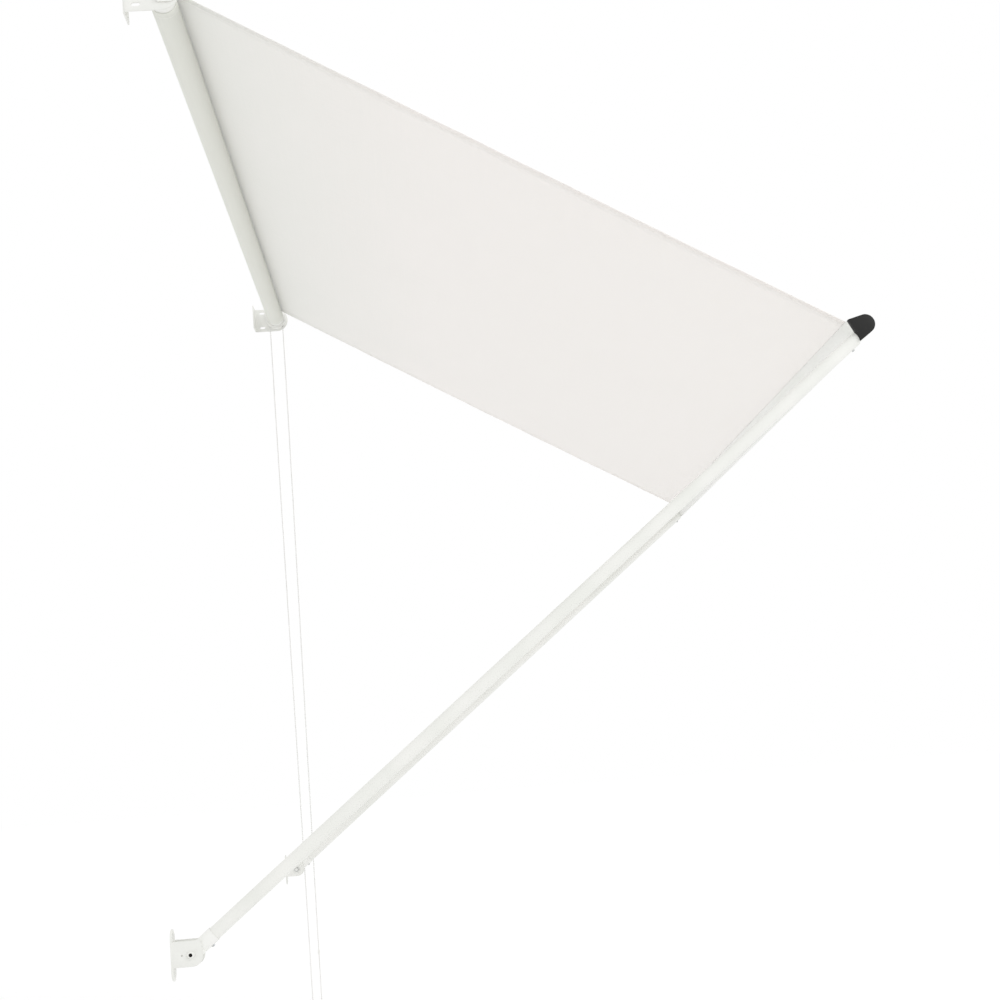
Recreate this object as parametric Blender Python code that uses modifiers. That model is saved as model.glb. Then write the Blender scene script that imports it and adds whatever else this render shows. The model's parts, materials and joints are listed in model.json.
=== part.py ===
"""Drop-arm canvas awning: a cloth roller on two wall brackets and a swinging U-shaped frame.

The wall is the plane Y = 0 and the awning stands out of it towards -Y. X runs along the roller, with
the idle end at low X and the chain end at high X, and +Z is up. The origin is the middle of the left
roller bracket's back face, at the height of the roller's axis. Metres throughout.
"""
import math

import bmesh
import bpy
from mathutils import Matrix, Vector

# Room between pieces that touch, and the play of pieces that turn in each other
GAP = 0.0003

# Overall layout
SPAN = 2.000  # outer face to outer face of the two roller brackets
ROLLER_OUT = 0.072  # roller axis from the wall
CLOTH_REACH = 1.500  # roller axis to front bar axis with the awning open
CANOPY_SLOPE = math.radians(29.3)  # fall of that line below the horizontal
PIVOT_OUT = 0.036  # arm pivot from the wall
CLOSED_DROP = 0.090  # front bar axis below the roller axis when the arms stand up
CLOSED_LEAN = math.radians(1.0)  # what is left of the arms' lean when closed
ARM_INSET = 0.034  # middle of an arm from the outer face of the roller bracket

# Roller brackets
STEEL = 0.003
FLANGE_WIDTH = 0.050
BEND_RADIUS = 0.004
BRACKET_END_RADIUS = 0.038
SIDE_SLOT_OUT = 0.0255
SIDE_SLOT_LENGTH = 0.017
SLOT_WIDTH = 0.007
SLOT_HEIGHT = 0.025
WALL_SLOT_LENGTH = 0.014

# Arm brackets
CLEVIS_INSIDE = 0.029
EAR_THICKNESS = 0.0025
EAR_REACH = 0.056
EAR_ABOVE = 0.025
EAR_BELOW = 0.021
EAR_LOWER_RADIUS = 0.017
EAR_UPPER_RADIUS = 0.008
WALL_PLATE_HALF_HEIGHT = 0.046
WALL_HOLE_HEIGHT = 0.035
WALL_HOLE_RADIUS = 0.0035
LOCATING_HOLE_RADIUS = 0.0015
LOCATING_HOLE_OUT = 0.020

# Pivot bolt, nut and bush
BOLT_RADIUS = 0.004
BOLT_HEAD_RADIUS = 0.007
BOLT_HEAD_HEIGHT = 0.0045
BOLT_TAIL = 0.010
KEY_RADIUS = 0.0030
KEY_DEPTH = 0.0025
NUT_RADIUS = 0.0075
NUT_HEIGHT = 0.0065
BUSH_RADIUS = 0.006

# Arms
ARM_RADIUS = 0.0125
ARM_WALL = 0.0015
ARM_OFFSET = 0.0087  # the arm's axis passes this far below the front bar's axis
SOCKET_RADIUS = 0.014
SOCKET_LENGTH = 0.052
SOCKET_FLOOR = 0.022
SOCKET_SCREW_UP = 0.037
CORNER_SCREW_DOWN = 0.048
SCREW_RADIUS = 0.0015
SCREW_HEAD_RADIUS = 0.0032
SCREW_HEAD_HEIGHT = 0.0022
SCREW_LENGTH = 0.0075

# Front bar and its corner pieces, as a rounded nose with a flat back
NOSE_RADIUS = 0.019
BACK_DISTANCE = 0.0245
BACK_ANGLE = math.radians(-11.1)
UPPER_ANGLE = math.radians(-113.0)
LOWER_ANGLE = math.radians(86.9)
CAP_INSET = 0.017  # outer face of a corner's cap from the outer face of the roller bracket
CAP_WIDTH = 0.010
CORNER_ROUNDING = 0.0016
BAR_WALL = 0.0018
GROOVE_LAND = 0.0030
HEM_ROD_RADIUS = 0.0028
GROOVE_MOUTH = 0.0024
PEG_END_INSET = 0.076
SPIGOT_LENGTH = 0.038
SPIGOT_TOP = 0.0295  # from the bar's axis, so that the spigot stays in the tube
ARM_NECK_RADIUS = 0.007
ARM_NECK_OFFSET = 0.001

# Cloth
CLOTH_THICKNESS = 0.0008
CLOTH_INSET = 0.036
TURNS_LEFT = 0.0012  # thickness of the turns that stay on the tube

# Roller and its idle end
TUBE_RADIUS = 0.025
TUBE_WALL = 0.0015
PLUG_INSET = 0.006
PLUG_RIM = 0.0027
PLUG_LENGTH = 0.044
PIN_RADIUS = 0.005
PIN_COLLAR_RADIUS = 0.0085
PIN_INSIDE = 0.044
IDLE_BUSH_RADIUS = 0.008
KEEPER_THICKNESS = 0.005
KEEPER_OUTWARD = 0.026
KEEPER_INWARD = 0.008
KEEPER_HALF_HEIGHT = 0.023
KEEPER_RIB = 0.003
KEEPER_CHANNEL_DEPTH = 0.002
KEEPER_SCREW_OUT = 0.017
KEEPER_SCREW_HEIGHT = 0.014

# Chain drive
CHAIN_DIAMETER = 0.0045
CHAIN_PITCH_RADIUS = 0.02075
CHAIN_INSET = 0.0105
WHEEL_RADIUS = 0.0225
WHEEL_WIDTH = 0.007
WHEEL_POCKETS = 21
NECK_RADIUS = 0.0142
SLEEVE_INSET = 0.0183
SLEEVE_RIM = 0.0029
SLEEVE_LENGTH = 0.040
HUB_RADIUS = 0.009
HUB_FLANGE_RADIUS = 0.020
HUB_FLANGE = 0.0027
HUB_LENGTH = 0.058
HUB_SCREW_HEIGHT = 0.014
HUB_SCREW_RADIUS = 0.002
SPRING_WIRE = 0.0016
SPRING_RADIUS = 0.0105
SPRING_TURNS = 5
SPRING_PITCH = 0.0030
SPRING_ROOM_RADIUS = 0.0122
COVER_RADIUS = 0.033
COVER_WALL = 0.002
COVER_DEPTH = 0.014
CHAIN_SLOT_WIDTH = 0.0065

# Hanging loop of chain
LOOP_DROP = 2.340
LOOP_HALF_WIDTH = 0.014
LOOP_POINTS_PER_RUN = 16
CONNECTOR_RADIUS = 0.0036
CONNECTOR_LENGTH = 0.014
CONNECTOR_UP = 0.250

# Worked out from the sizes above
LEFT = -FLANGE_WIDTH / 2
RIGHT = LEFT + SPAN
FRONT_OUT = ROLLER_OUT + CLOTH_REACH * math.cos(CANOPY_SLOPE)
FRONT_DROP = CLOTH_REACH * math.sin(CANOPY_SLOPE)
PIVOT_DROP = ((FRONT_OUT - PIVOT_OUT) ** 2 + FRONT_DROP**2 - CLOSED_DROP**2) / (
    2 * (FRONT_DROP - CLOSED_DROP)
)
BAR_FROM_PIVOT = PIVOT_DROP - CLOSED_DROP
BAR_UP = math.sqrt(BAR_FROM_PIVOT**2 - ARM_OFFSET**2)
ARM_LEAN = math.atan2(FRONT_OUT - PIVOT_OUT, PIVOT_DROP - FRONT_DROP) + math.atan2(ARM_OFFSET, BAR_UP)
ROLL_RADIUS = TUBE_RADIUS + GAP + TURNS_LEFT
GROOVE_RADIUS = HEM_ROD_RADIUS + GAP
CLEVIS_WIDTH = CLEVIS_INSIDE + 2 * EAR_THICKNESS
SOCKET_BORE = ARM_RADIUS + GAP
EYE_BORE = BUSH_RADIUS + GAP

# Looks
WHITE_PAINT = ("white_paint", (0.86, 0.86, 0.84), 0.35, 0.0)
CREAM_CLOTH = ("cream_cloth", (0.83, 0.80, 0.74), 0.9, 0.0)
BLACK_PLASTIC = ("black_plastic", (0.03, 0.03, 0.03), 0.5, 0.0)
WHITE_PLASTIC = ("white_plastic", (0.84, 0.84, 0.82), 0.4, 0.0)
ZINC = ("zinc_plated_steel", (0.62, 0.63, 0.64), 0.35, 1.0)
ALUMINIUM = ("white_coated_aluminium", (0.86, 0.86, 0.84), 0.4, 0.0)

# How flat outlines stand in space: first axis, second axis and depth as columns
SIDE_ON = Matrix(((0, 0, 1), (1, 0, 0), (0, 1, 0))).to_4x4()  # Y, Z, depth along X
WALL_ON = Matrix(((1, 0, 0), (0, 0, -1), (0, 1, 0))).to_4x4()  # X, Z, depth along Y
FROM_ABOVE = Matrix.Identity(4)  # X, Y, depth along Z
ALONG_X = Matrix.Rotation(math.pi / 2, 4, "Y")
ALONG_MINUS_X = Matrix.Rotation(-math.pi / 2, 4, "Y")
ALONG_MINUS_Y = Matrix.Rotation(math.pi / 2, 4, "X")


def clear_scene():
    """Takes away whatever the scene starts with."""
    for old in list(bpy.data.objects):
        bpy.data.objects.remove(old)


def new_collection(name):
    collection = bpy.data.collections.new(name)
    bpy.context.scene.collection.children.link(collection)
    return collection


clear_scene()
PARTS = new_collection("canvas_awning")
CUTTERS = new_collection("cutters")


def side_x(side, inset):
    """The X of a plane that lies inset from the outer face of that side's roller bracket."""
    return LEFT + inset if side == "left" else RIGHT - inset


def inward(side):
    return 1 if side == "left" else -1


def new_object(name, mesh, collection=CUTTERS, matrix=FROM_ABOVE, parent=None):
    obj = bpy.data.objects.new(name, mesh)
    collection.objects.link(obj)
    obj.parent = parent
    obj.matrix_local = matrix
    if collection is CUTTERS:
        obj.hide_render = True
        obj.display_type = "WIRE"
    return obj


def empty(name, matrix):
    obj = bpy.data.objects.new(name, None)
    PARTS.objects.link(obj)
    obj.matrix_world = matrix
    return obj


def finish_part(obj, name, look, smooth=True):
    """Names a finished piece, moves it among the parts and gives it its material."""
    slot, color, roughness, metallic = look
    material = bpy.data.materials.get(slot)
    if material is None:
        material = bpy.data.materials.new(slot)
        material.use_nodes = True
        shader = material.node_tree.nodes["Principled BSDF"]
        shader.inputs["Base Color"].default_value = (*color, 1)
        shader.inputs["Roughness"].default_value = roughness
        shader.inputs["Metallic"].default_value = metallic
    for collection in list(obj.users_collection):
        collection.objects.unlink(obj)
    PARTS.objects.link(obj)
    obj.name = name
    obj.data.name = name
    obj.hide_render = False
    obj.display_type = "TEXTURED"
    obj.data.materials.clear()
    obj.data.materials.append(material)
    if smooth and obj.type == "MESH":
        obj.data.shade_smooth()
        obj.data.set_sharp_from_angle(angle=math.radians(35))
    return obj


def as_mesh(curve_object, name):
    """The same solid as a welded mesh, ready to be cut."""
    bpy.context.view_layer.update()
    evaluated = curve_object.evaluated_get(bpy.context.evaluated_depsgraph_get())
    mesh = bpy.data.meshes.new_from_object(evaluated)
    work = bmesh.new()
    work.from_mesh(mesh)
    bmesh.ops.remove_doubles(work, verts=work.verts, dist=1e-6)
    work.to_mesh(mesh)
    work.free()
    obj = new_object(name, mesh, parent=curve_object.parent, matrix=curve_object.matrix_local.copy())
    bpy.data.objects.remove(curve_object)
    return obj


def outline_solid(name, loops, low, high, facing, parent=None):
    """A flat outline with its holes, made thick between low and high along its depth axis."""
    data = bpy.data.curves.new(name, "CURVE")
    data.dimensions = "2D"
    data.fill_mode = "BOTH"
    data.extrude = abs(high - low) / 2
    for loop in loops:
        spline = data.splines.new("POLY")
        spline.points.add(len(loop) - 1)
        for point, (a, b) in zip(spline.points, loop):
            point.co = (a, b, 0, 1)
        spline.use_cyclic_u = True
    depth = facing.to_3x3() @ Vector((0, 0, 1))
    middle = (low + high) / 2
    sign = 1 if sum(depth) > 0 else -1
    place = Matrix.Translation(depth * (middle * sign)) @ facing
    curve_object = new_object(name + "_outline", data, parent=parent, matrix=place)
    return as_mesh(curve_object, name)


def arc(a, b, radius, start, end, steps):
    """Points on an arc about (a, b), from one angle to another in radians."""
    angles = [start + (end - start) * i / steps for i in range(steps + 1)]
    return [(a + radius * math.cos(t), b + radius * math.sin(t)) for t in angles]


def circle(a, b, radius, steps=20):
    return arc(a, b, radius, 0, 2 * math.pi, steps)[:-1]


def slot(a, b, length, width, upright=False):
    """A slot's outline about its middle, lying along the first axis or standing along the second."""
    reach = (length - width) / 2
    quarter = math.pi / 2
    if upright:
        return arc(a, b + reach, width / 2, 0, 2 * quarter, 6) + arc(
            a, b - reach, width / 2, 2 * quarter, 4 * quarter, 6
        )
    return arc(a + reach, b, width / 2, -quarter, quarter, 6) + arc(
        a - reach, b, width / 2, quarter, 3 * quarter, 6
    )


def rounded_box(a_low, a_high, b_low, b_high, radii, steps=4):
    """A rectangle with its own radius at each corner, from the low-low corner round."""
    quarter = math.pi / 2
    corners = [(a_low, b_low, 1, 1), (a_high, b_low, -1, 1), (a_high, b_high, -1, -1), (a_low, b_high, 1, -1)]
    points = []
    for i, ((a, b, to_a, to_b), radius) in enumerate(zip(corners, radii)):
        start = quarter * (i + 2)
        points += arc(a + to_a * radius, b + to_b * radius, radius, start, start + quarter, steps)
    return points


def cylinder(name, radius, length, matrix, parent=None, segments=24):
    """A plain cylinder that starts at the matrix's origin and runs along its Z axis."""
    work = bmesh.new()
    bmesh.ops.create_cone(
        work,
        cap_ends=True,
        segments=segments,
        radius1=radius,
        radius2=radius,
        depth=length,
        matrix=Matrix.Translation((0, 0, length / 2)),
    )
    mesh = bpy.data.meshes.new(name)
    work.to_mesh(mesh)
    work.free()
    return new_object(name, mesh, matrix=matrix, parent=parent)


def box(name, low, high, matrix=FROM_ABOVE, parent=None):
    size = Vector(high) - Vector(low)
    middle = (Vector(high) + Vector(low)) / 2
    work = bmesh.new()
    bmesh.ops.create_cube(work, size=1, matrix=Matrix.Translation(middle) @ Matrix.Diagonal((*size, 1)))
    mesh = bpy.data.meshes.new(name)
    work.to_mesh(mesh)
    work.free()
    return new_object(name, mesh, matrix=matrix, parent=parent)


def turned(name, profile, matrix, parent=None, steps=28, closed=True):
    """A turned piece from (radius, height) points that run down its outer side, about its Z axis."""
    mesh = bpy.data.meshes.new(name)
    work = bmesh.new()
    points = [work.verts.new((radius, 0, height)) for radius, height in profile]
    for first, second in zip(points, points[1:]):
        work.edges.new((first, second))
    if closed:
        work.edges.new((points[-1], points[0]))
    work.to_mesh(mesh)
    work.free()
    obj = new_object(name, mesh, matrix=matrix, parent=parent)
    screw = obj.modifiers.new("turn", "SCREW")
    screw.steps = steps
    screw.render_steps = steps
    screw.use_merge_vertices = True
    screw.merge_threshold = 1e-5
    screw.use_smooth_shade = True
    return obj


def ring_profile(outer, inner, low, high):
    return [(outer, high), (outer, low), (inner, low), (inner, high)]


def combine(obj, other, operation="DIFFERENCE"):
    """Cuts, joins or crosses a piece with another body."""
    modifier = obj.modifiers.new(operation.lower(), "BOOLEAN")
    modifier.operation = operation
    modifier.object = other
    return obj


def at(x, y, z, turn=FROM_ABOVE):
    return Matrix.Translation((x, y, z)) @ turn


# The three axes that things turn about
FRAME_AXIS = empty("arm_pivots", at(0, -PIVOT_OUT, -PIVOT_DROP, Matrix.Rotation(ARM_LEAN, 4, "X")))
ROLLER_AXIS = empty("roller_axis", at(0, -ROLLER_OUT, 0, ALONG_X))
CLOTH_AXIS = empty("cloth_axis", at(0, -ROLLER_OUT, 0))


def bracket_outline():
    """The roller bracket seen from its end: square at the wall and round about the roller's axis."""
    r = BRACKET_END_RADIUS
    round_end = arc(-ROLLER_OUT, 0, r, math.pi / 2, 3 * math.pi / 2, 18)
    return round_end + [(0, -r), (0, r)]


def angle_section(side):
    """The bracket from above: one sheet bent through a right angle, with its bend rounded."""
    s = inward(side)
    x = side_x(side, 0)
    reach = ROLLER_OUT + BRACKET_END_RADIUS
    outer = BEND_RADIUS + STEEL
    bend_x = x + s * outer
    steps = 4
    points = [(x, -reach), (x, -outer)]
    for i in range(1, steps):
        t = math.pi / 2 * i / steps
        points.append((bend_x - s * outer * math.cos(t), -outer + outer * math.sin(t)))
    points += [(bend_x, 0), (x + s * FLANGE_WIDTH, 0), (x + s * FLANGE_WIDTH, -STEEL), (bend_x, -STEEL)]
    for i in range(1, steps):
        t = math.pi / 2 * i / steps
        points.append((bend_x - s * BEND_RADIUS * math.sin(t), -outer + BEND_RADIUS * math.cos(t)))
    points += [(x + s * STEEL, -outer), (x + s * STEEL, -reach)]
    return points


def roller_bracket(side):
    """A pressed steel angle: screw slots in its wall flange and in its side plate."""
    name = side + "_roller_bracket"
    r = BRACKET_END_RADIUS
    x_out = side_x(side, -0.01)
    x_in = side_x(side, FLANGE_WIDTH + 0.01)
    sheet = outline_solid(name, [angle_section(side)], -r, r, FROM_ABOVE)
    combine(sheet, outline_solid(name + "_end", [bracket_outline()], x_out, x_in, SIDE_ON), "INTERSECT")
    side_slots = [slot(-SIDE_SLOT_OUT, z, SIDE_SLOT_LENGTH, SLOT_WIDTH) for z in (-SLOT_HEIGHT, SLOT_HEIGHT)]
    if side == "left":
        holes = [circle(-ROLLER_OUT, 0, PIN_RADIUS + GAP)]
        for z in (-KEEPER_SCREW_HEIGHT, KEEPER_SCREW_HEIGHT):
            holes.append(circle(-ROLLER_OUT - KEEPER_SCREW_OUT, z, SCREW_RADIUS + GAP, 12))
    else:
        holes = [circle(-ROLLER_OUT, z, HUB_SCREW_RADIUS + GAP, 16) for z in (-HUB_SCREW_HEIGHT, HUB_SCREW_HEIGHT)]
    x_past = side_x(side, STEEL + BEND_RADIUS / 2)
    combine(sheet, outline_solid(name + "_side_holes", side_slots + holes, x_out, x_past, SIDE_ON))
    middle = side_x(side, FLANGE_WIDTH / 2)
    wall_slots = [slot(middle, z, WALL_SLOT_LENGTH, SLOT_WIDTH, True) for z in (-SLOT_HEIGHT, SLOT_HEIGHT)]
    combine(sheet, outline_solid(name + "_wall_holes", wall_slots, -0.01, 0.01, WALL_ON))
    return finish_part(sheet, name, WHITE_PAINT)


def clevis_section(side):
    """The arm bracket's ears and web from above, a U that opens away from the wall."""
    x_low = min(side_x(side, ARM_INSET - CLEVIS_WIDTH / 2), side_x(side, ARM_INSET + CLEVIS_WIDTH / 2))
    x_high = x_low + CLEVIS_WIDTH
    outside = rounded_box(x_low, x_high, -EAR_REACH * 1.2, 0, (0, 0, BEND_RADIUS, BEND_RADIUS))
    inner_radius = BEND_RADIUS / 2
    inside = rounded_box(
        x_low + EAR_THICKNESS,
        x_high - EAR_THICKNESS,
        -EAR_REACH * 1.3,
        -STEEL,
        (0, 0, inner_radius, inner_radius),
    )
    return outside, inside


def arm_bracket(side):
    """A pressed steel clevis on a wall plate with round ends and a screw hole at each end."""
    name = side + "_arm_bracket"
    x = side_x(side, ARM_INSET)
    outside, inside = clevis_section(side)
    low = -PIVOT_DROP - EAR_BELOW
    high = -PIVOT_DROP + EAR_ABOVE
    ears = outline_solid(name, [outside], low, high, FROM_ABOVE)
    combine(ears, outline_solid(name + "_inside", [inside], low - 0.01, high + 0.01, FROM_ABOVE))
    radii = (EAR_LOWER_RADIUS, 0, 0, EAR_UPPER_RADIUS)
    ear_shape = rounded_box(-EAR_REACH, 0.0, low, high, radii)
    shape = outline_solid(name + "_ear", [ear_shape], x - CLEVIS_WIDTH, x + CLEVIS_WIDTH, SIDE_ON)
    combine(ears, shape, "INTERSECT")
    reach = WALL_PLATE_HALF_HEIGHT * 2
    plate_loops = [slot(x, -PIVOT_DROP, reach, CLEVIS_WIDTH, True)]
    for z in (-WALL_HOLE_HEIGHT, WALL_HOLE_HEIGHT):
        plate_loops.append(circle(x, -PIVOT_DROP + z, WALL_HOLE_RADIUS, 16))
    plate = outline_solid(name + "_plate", plate_loops, -STEEL, 0, WALL_ON)
    combine(ears, plate, "UNION")
    holes = [
        circle(-PIVOT_OUT, -PIVOT_DROP, BOLT_RADIUS + GAP),
        circle(-LOCATING_HOLE_OUT, -PIVOT_DROP, LOCATING_HOLE_RADIUS, 12),
    ]
    combine(ears, outline_solid(name + "_holes", holes, x - CLEVIS_WIDTH, x + CLEVIS_WIDTH, SIDE_ON))
    return finish_part(ears, name, WHITE_PAINT)


def pivot_bolt(side):
    """A button-head bolt through both ears, with a hexagon socket in its head."""
    name = side + "_pivot_bolt"
    length = CLEVIS_WIDTH + BOLT_TAIL + GAP
    head = BOLT_HEAD_HEIGHT
    crown = [(BOLT_HEAD_RADIUS * math.cos(t), -head * math.sin(t)) for t in (0.0, 0.45, 0.85, 1.15)]
    profile = [(0, length), (BOLT_RADIUS, length), (BOLT_RADIUS, 0)] + crown + [(0, -head)]
    turn = ALONG_X if side == "left" else ALONG_MINUS_X
    x = side_x(side, ARM_INSET - CLEVIS_WIDTH / 2 - GAP)
    place = at(x, -PIVOT_OUT, -PIVOT_DROP, turn)
    bolt = turned(name, profile, place, closed=False, steps=18)
    key_place = place @ Matrix.Translation((0, 0, -head - KEY_DEPTH))
    combine(bolt, cylinder(name + "_key", KEY_RADIUS, 2 * KEY_DEPTH, key_place, segments=6))
    return finish_part(bolt, name, WHITE_PAINT)


def pivot_nut(side):
    """The hexagon nut on the inner ear."""
    name = side + "_pivot_nut"
    x = side_x(side, ARM_INSET + CLEVIS_WIDTH / 2 + GAP)
    turn = ALONG_X if side == "left" else ALONG_MINUS_X
    place = at(x, -PIVOT_OUT, -PIVOT_DROP, turn)
    nut = cylinder(name, NUT_RADIUS, NUT_HEIGHT, place, segments=6)
    through = place @ Matrix.Translation((0, 0, -NUT_HEIGHT))
    combine(nut, cylinder(name + "_bore", BOLT_RADIUS + GAP, 3 * NUT_HEIGHT, through, segments=24))
    return finish_part(nut, name, ZINC)


def pivot_bush(side):
    """The nylon sleeve in the arm's eye, which turns on the bolt."""
    length = CLEVIS_INSIDE - 2 * GAP
    x = side_x(side, ARM_INSET) - length / 2
    profile = ring_profile(BUSH_RADIUS, BOLT_RADIUS + GAP, 0, length)
    bush = turned(side + "_pivot_bush", profile, at(x, 0, 0, ALONG_X), parent=FRAME_AXIS, steps=18)
    return finish_part(bush, side + "_pivot_bush", WHITE_PLASTIC)


def arm_socket(side):
    """The end fitting of an arm: a round eye, and a socket that the tube stands in."""
    name = side + "_arm_socket"
    x = side_x(side, ARM_INSET)
    half = CLEVIS_INSIDE / 2 - GAP
    r = SOCKET_RADIUS
    eye = arc(0, 0, r, math.pi, 2 * math.pi, 12) + [(r, SOCKET_FLOOR), (-r, SOCKET_FLOOR)]
    socket = outline_solid(name, [eye], x - half, x + half, SIDE_ON, parent=FRAME_AXIS)
    start = r
    body = cylinder(name + "_body", r, SOCKET_LENGTH - start, at(x, 0, start), parent=FRAME_AXIS)
    combine(socket, body, "UNION")
    bore_place = at(x, 0, SOCKET_FLOOR)
    bore = cylinder(name + "_bore", SOCKET_BORE, SOCKET_LENGTH, bore_place, parent=FRAME_AXIS)
    combine(socket, bore)
    eye_hole = outline_solid(
        name + "_eye_hole", [circle(0, 0, EYE_BORE)], x - r * 2, x + r * 2, SIDE_ON, parent=FRAME_AXIS
    )
    combine(socket, eye_hole)
    combine(socket, screw_hole(name, side, SOCKET_SCREW_UP))
    return finish_part(socket, name, ALUMINIUM)


def screw_hole(name, side, up):
    """The bore for a small screw that goes in from the arm's lower side."""
    place = at(side_x(side, ARM_INSET), 0, up, ALONG_MINUS_Y)
    return cylinder(name + "_screw_hole", SCREW_RADIUS + GAP, 0.03, place, parent=FRAME_AXIS, segments=12)


def back_plane_cutter(name, side):
    """All that lies past the corner's flat back, so that the tube meets it flush."""
    depth = 0.1
    turn = Matrix.Rotation(-BACK_ANGLE, 4, "X")
    place = at(side_x(side, ARM_INSET), ARM_OFFSET, BAR_UP) @ turn
    low = (-depth, -depth, -BACK_DISTANCE - GAP)
    return box(name, low, (depth, depth, depth), place, parent=FRAME_AXIS)


def arm_tube(side):
    """A straight round steel tube from the socket to the corner piece."""
    name = side + "_arm_tube"
    start = SOCKET_FLOOR + GAP
    place = at(side_x(side, ARM_INSET), 0, start)
    profile = ring_profile(ARM_RADIUS, ARM_RADIUS - ARM_WALL, 0, BAR_UP - start)
    tube = turned(name, profile, place, parent=FRAME_AXIS)
    combine(tube, back_plane_cutter(name + "_end", side))
    combine(tube, screw_hole(name + "_lower", side, SOCKET_SCREW_UP))
    combine(tube, screw_hole(name + "_upper", side, BAR_UP - CORNER_SCREW_DOWN))
    return finish_part(tube, name, WHITE_PAINT)


def small_screw(name, radius, head_radius, matrix, parent, length):
    """A round-headed screw whose head stands behind the matrix's origin."""
    h = SCREW_HEAD_HEIGHT
    profile = [(0, length), (radius * 0.5, length), (radius, length - 2 * radius), (radius, 0)]
    profile += [(head_radius, 0), (head_radius, -0.4 * h), (head_radius * 0.7, -h), (0, -h)]
    return turned(name, profile, matrix, parent=parent, steps=10, closed=False)


def arm_screw(side, end):
    """A screw from the arm's lower side that holds the tube in the socket or on the corner piece."""
    seat = -SOCKET_RADIUS if end == "lower" else -ARM_RADIUS
    up = SOCKET_SCREW_UP if end == "lower" else BAR_UP - CORNER_SCREW_DOWN
    turn = ALONG_MINUS_Y @ Matrix.Rotation(math.pi, 4, "X")
    place = at(side_x(side, ARM_INSET), seat - GAP, up, turn)
    name = side + "_arm_" + end + "_screw"
    screw = small_screw(name, SCREW_RADIUS, SCREW_HEAD_RADIUS, place, FRAME_AXIS, SCREW_LENGTH)
    return finish_part(screw, name, ZINC)


def corner_of(first_angle, first_distance, second_angle, second_distance):
    """Where two straight sides meet, each given by its outward normal and its distance."""
    a, b = math.cos(first_angle), math.sin(first_angle)
    c, d = math.cos(second_angle), math.sin(second_angle)
    det = a * d - b * c
    return (
        (first_distance * d - b * second_distance) / det,
        (a * second_distance - c * first_distance) / det,
    )


def bar_outline(inset):
    """The front bar's outline about its axis, drawn in by inset: down the arm, and to its lower side."""
    radius = NOSE_RADIUS - inset
    upper = corner_of(UPPER_ANGLE, radius, BACK_ANGLE, BACK_DISTANCE - inset)
    lower = corner_of(LOWER_ANGLE, radius, BACK_ANGLE, BACK_DISTANCE - inset)
    nose = arc(0, 0, radius, LOWER_ANGLE, UPPER_ANGLE + 2 * math.pi, 18)
    return nose + [upper, lower]


def in_frame(points):
    """Takes points about the bar's axis to the swinging frame's own Y and Z."""
    return [(ARM_OFFSET - v, BAR_UP - u) for u, v in points]


def groove_centre():
    """The middle of the cloth's groove, in the corner of the upper side and the back."""
    inset = GROOVE_RADIUS + GROOVE_LAND
    corner = corner_of(UPPER_ANGLE, NOSE_RADIUS - inset, BACK_ANGLE, BACK_DISTANCE - inset)
    return Vector((0, *in_frame([corner])[0]))


def cloth_line():
    """The open cloth's line from the top of the roll to the hem rod, as two world points at X = 0."""
    groove = FRAME_AXIS.matrix_world @ groove_centre()
    centre = Vector((0, -ROLLER_OUT, 0))
    radius = ROLL_RADIUS + GAP + CLOTH_THICKNESS / 2
    away = groove - centre
    angle = math.atan2(away.z, away.y) - math.acos(radius / away.length)
    start = centre + Vector((0, math.cos(angle), math.sin(angle))) * radius
    end = groove + (start - groove).normalized() * (HEM_ROD_RADIUS + GAP)
    return start, end


def arm_neck(name, side, radius):
    """What joins a corner's peg to its spigot, through the notch in the bar's back."""
    place = at(side_x(side, ARM_INSET), ARM_NECK_OFFSET, BAR_UP - SPIGOT_TOP - radius)
    return cylinder(name, radius, SPIGOT_TOP, place, parent=FRAME_AXIS)


def corner_piece(side):
    """Moulded in one: the bar's end cap, a peg in the front bar and a spigot in the arm's tube."""
    name = side + "_corner"
    low, high = sorted((side_x(side, CAP_INSET), side_x(side, CAP_INSET + CAP_WIDTH)))
    corner = outline_solid(name, [in_frame(bar_outline(0))], low, high, SIDE_ON, parent=FRAME_AXIS)
    bevel = corner.modifiers.new("soften", "BEVEL")
    bevel.width = CORNER_ROUNDING
    bevel.segments = 2
    bevel.limit_method = "ANGLE"
    bevel.angle_limit = math.radians(40)
    peg_turn = ALONG_X if side == "left" else ALONG_MINUS_X
    peg_inset = CAP_INSET + CAP_WIDTH / 2
    peg_radius = NOSE_RADIUS - BAR_WALL - GAP
    peg_place = at(side_x(side, peg_inset), ARM_OFFSET, BAR_UP, peg_turn)
    peg = cylinder(name + "_peg", peg_radius, PEG_END_INSET - peg_inset, peg_place, parent=FRAME_AXIS)
    combine(corner, peg, "UNION")
    combine(corner, arm_neck(name + "_neck", side, ARM_NECK_RADIUS), "UNION")
    spigot_end = BAR_UP - BACK_DISTANCE - SPIGOT_LENGTH
    spigot_radius = ARM_RADIUS - ARM_WALL - GAP
    spigot_length = BAR_UP - SPIGOT_TOP - spigot_end
    spigot_place = at(side_x(side, ARM_INSET), 0, spigot_end)
    spigot = cylinder(name + "_spigot", spigot_radius, spigot_length, spigot_place, parent=FRAME_AXIS)
    combine(corner, spigot, "UNION")
    combine(corner, screw_hole(name, side, BAR_UP - CORNER_SCREW_DOWN))
    return finish_part(corner, name, BLACK_PLASTIC)


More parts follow.
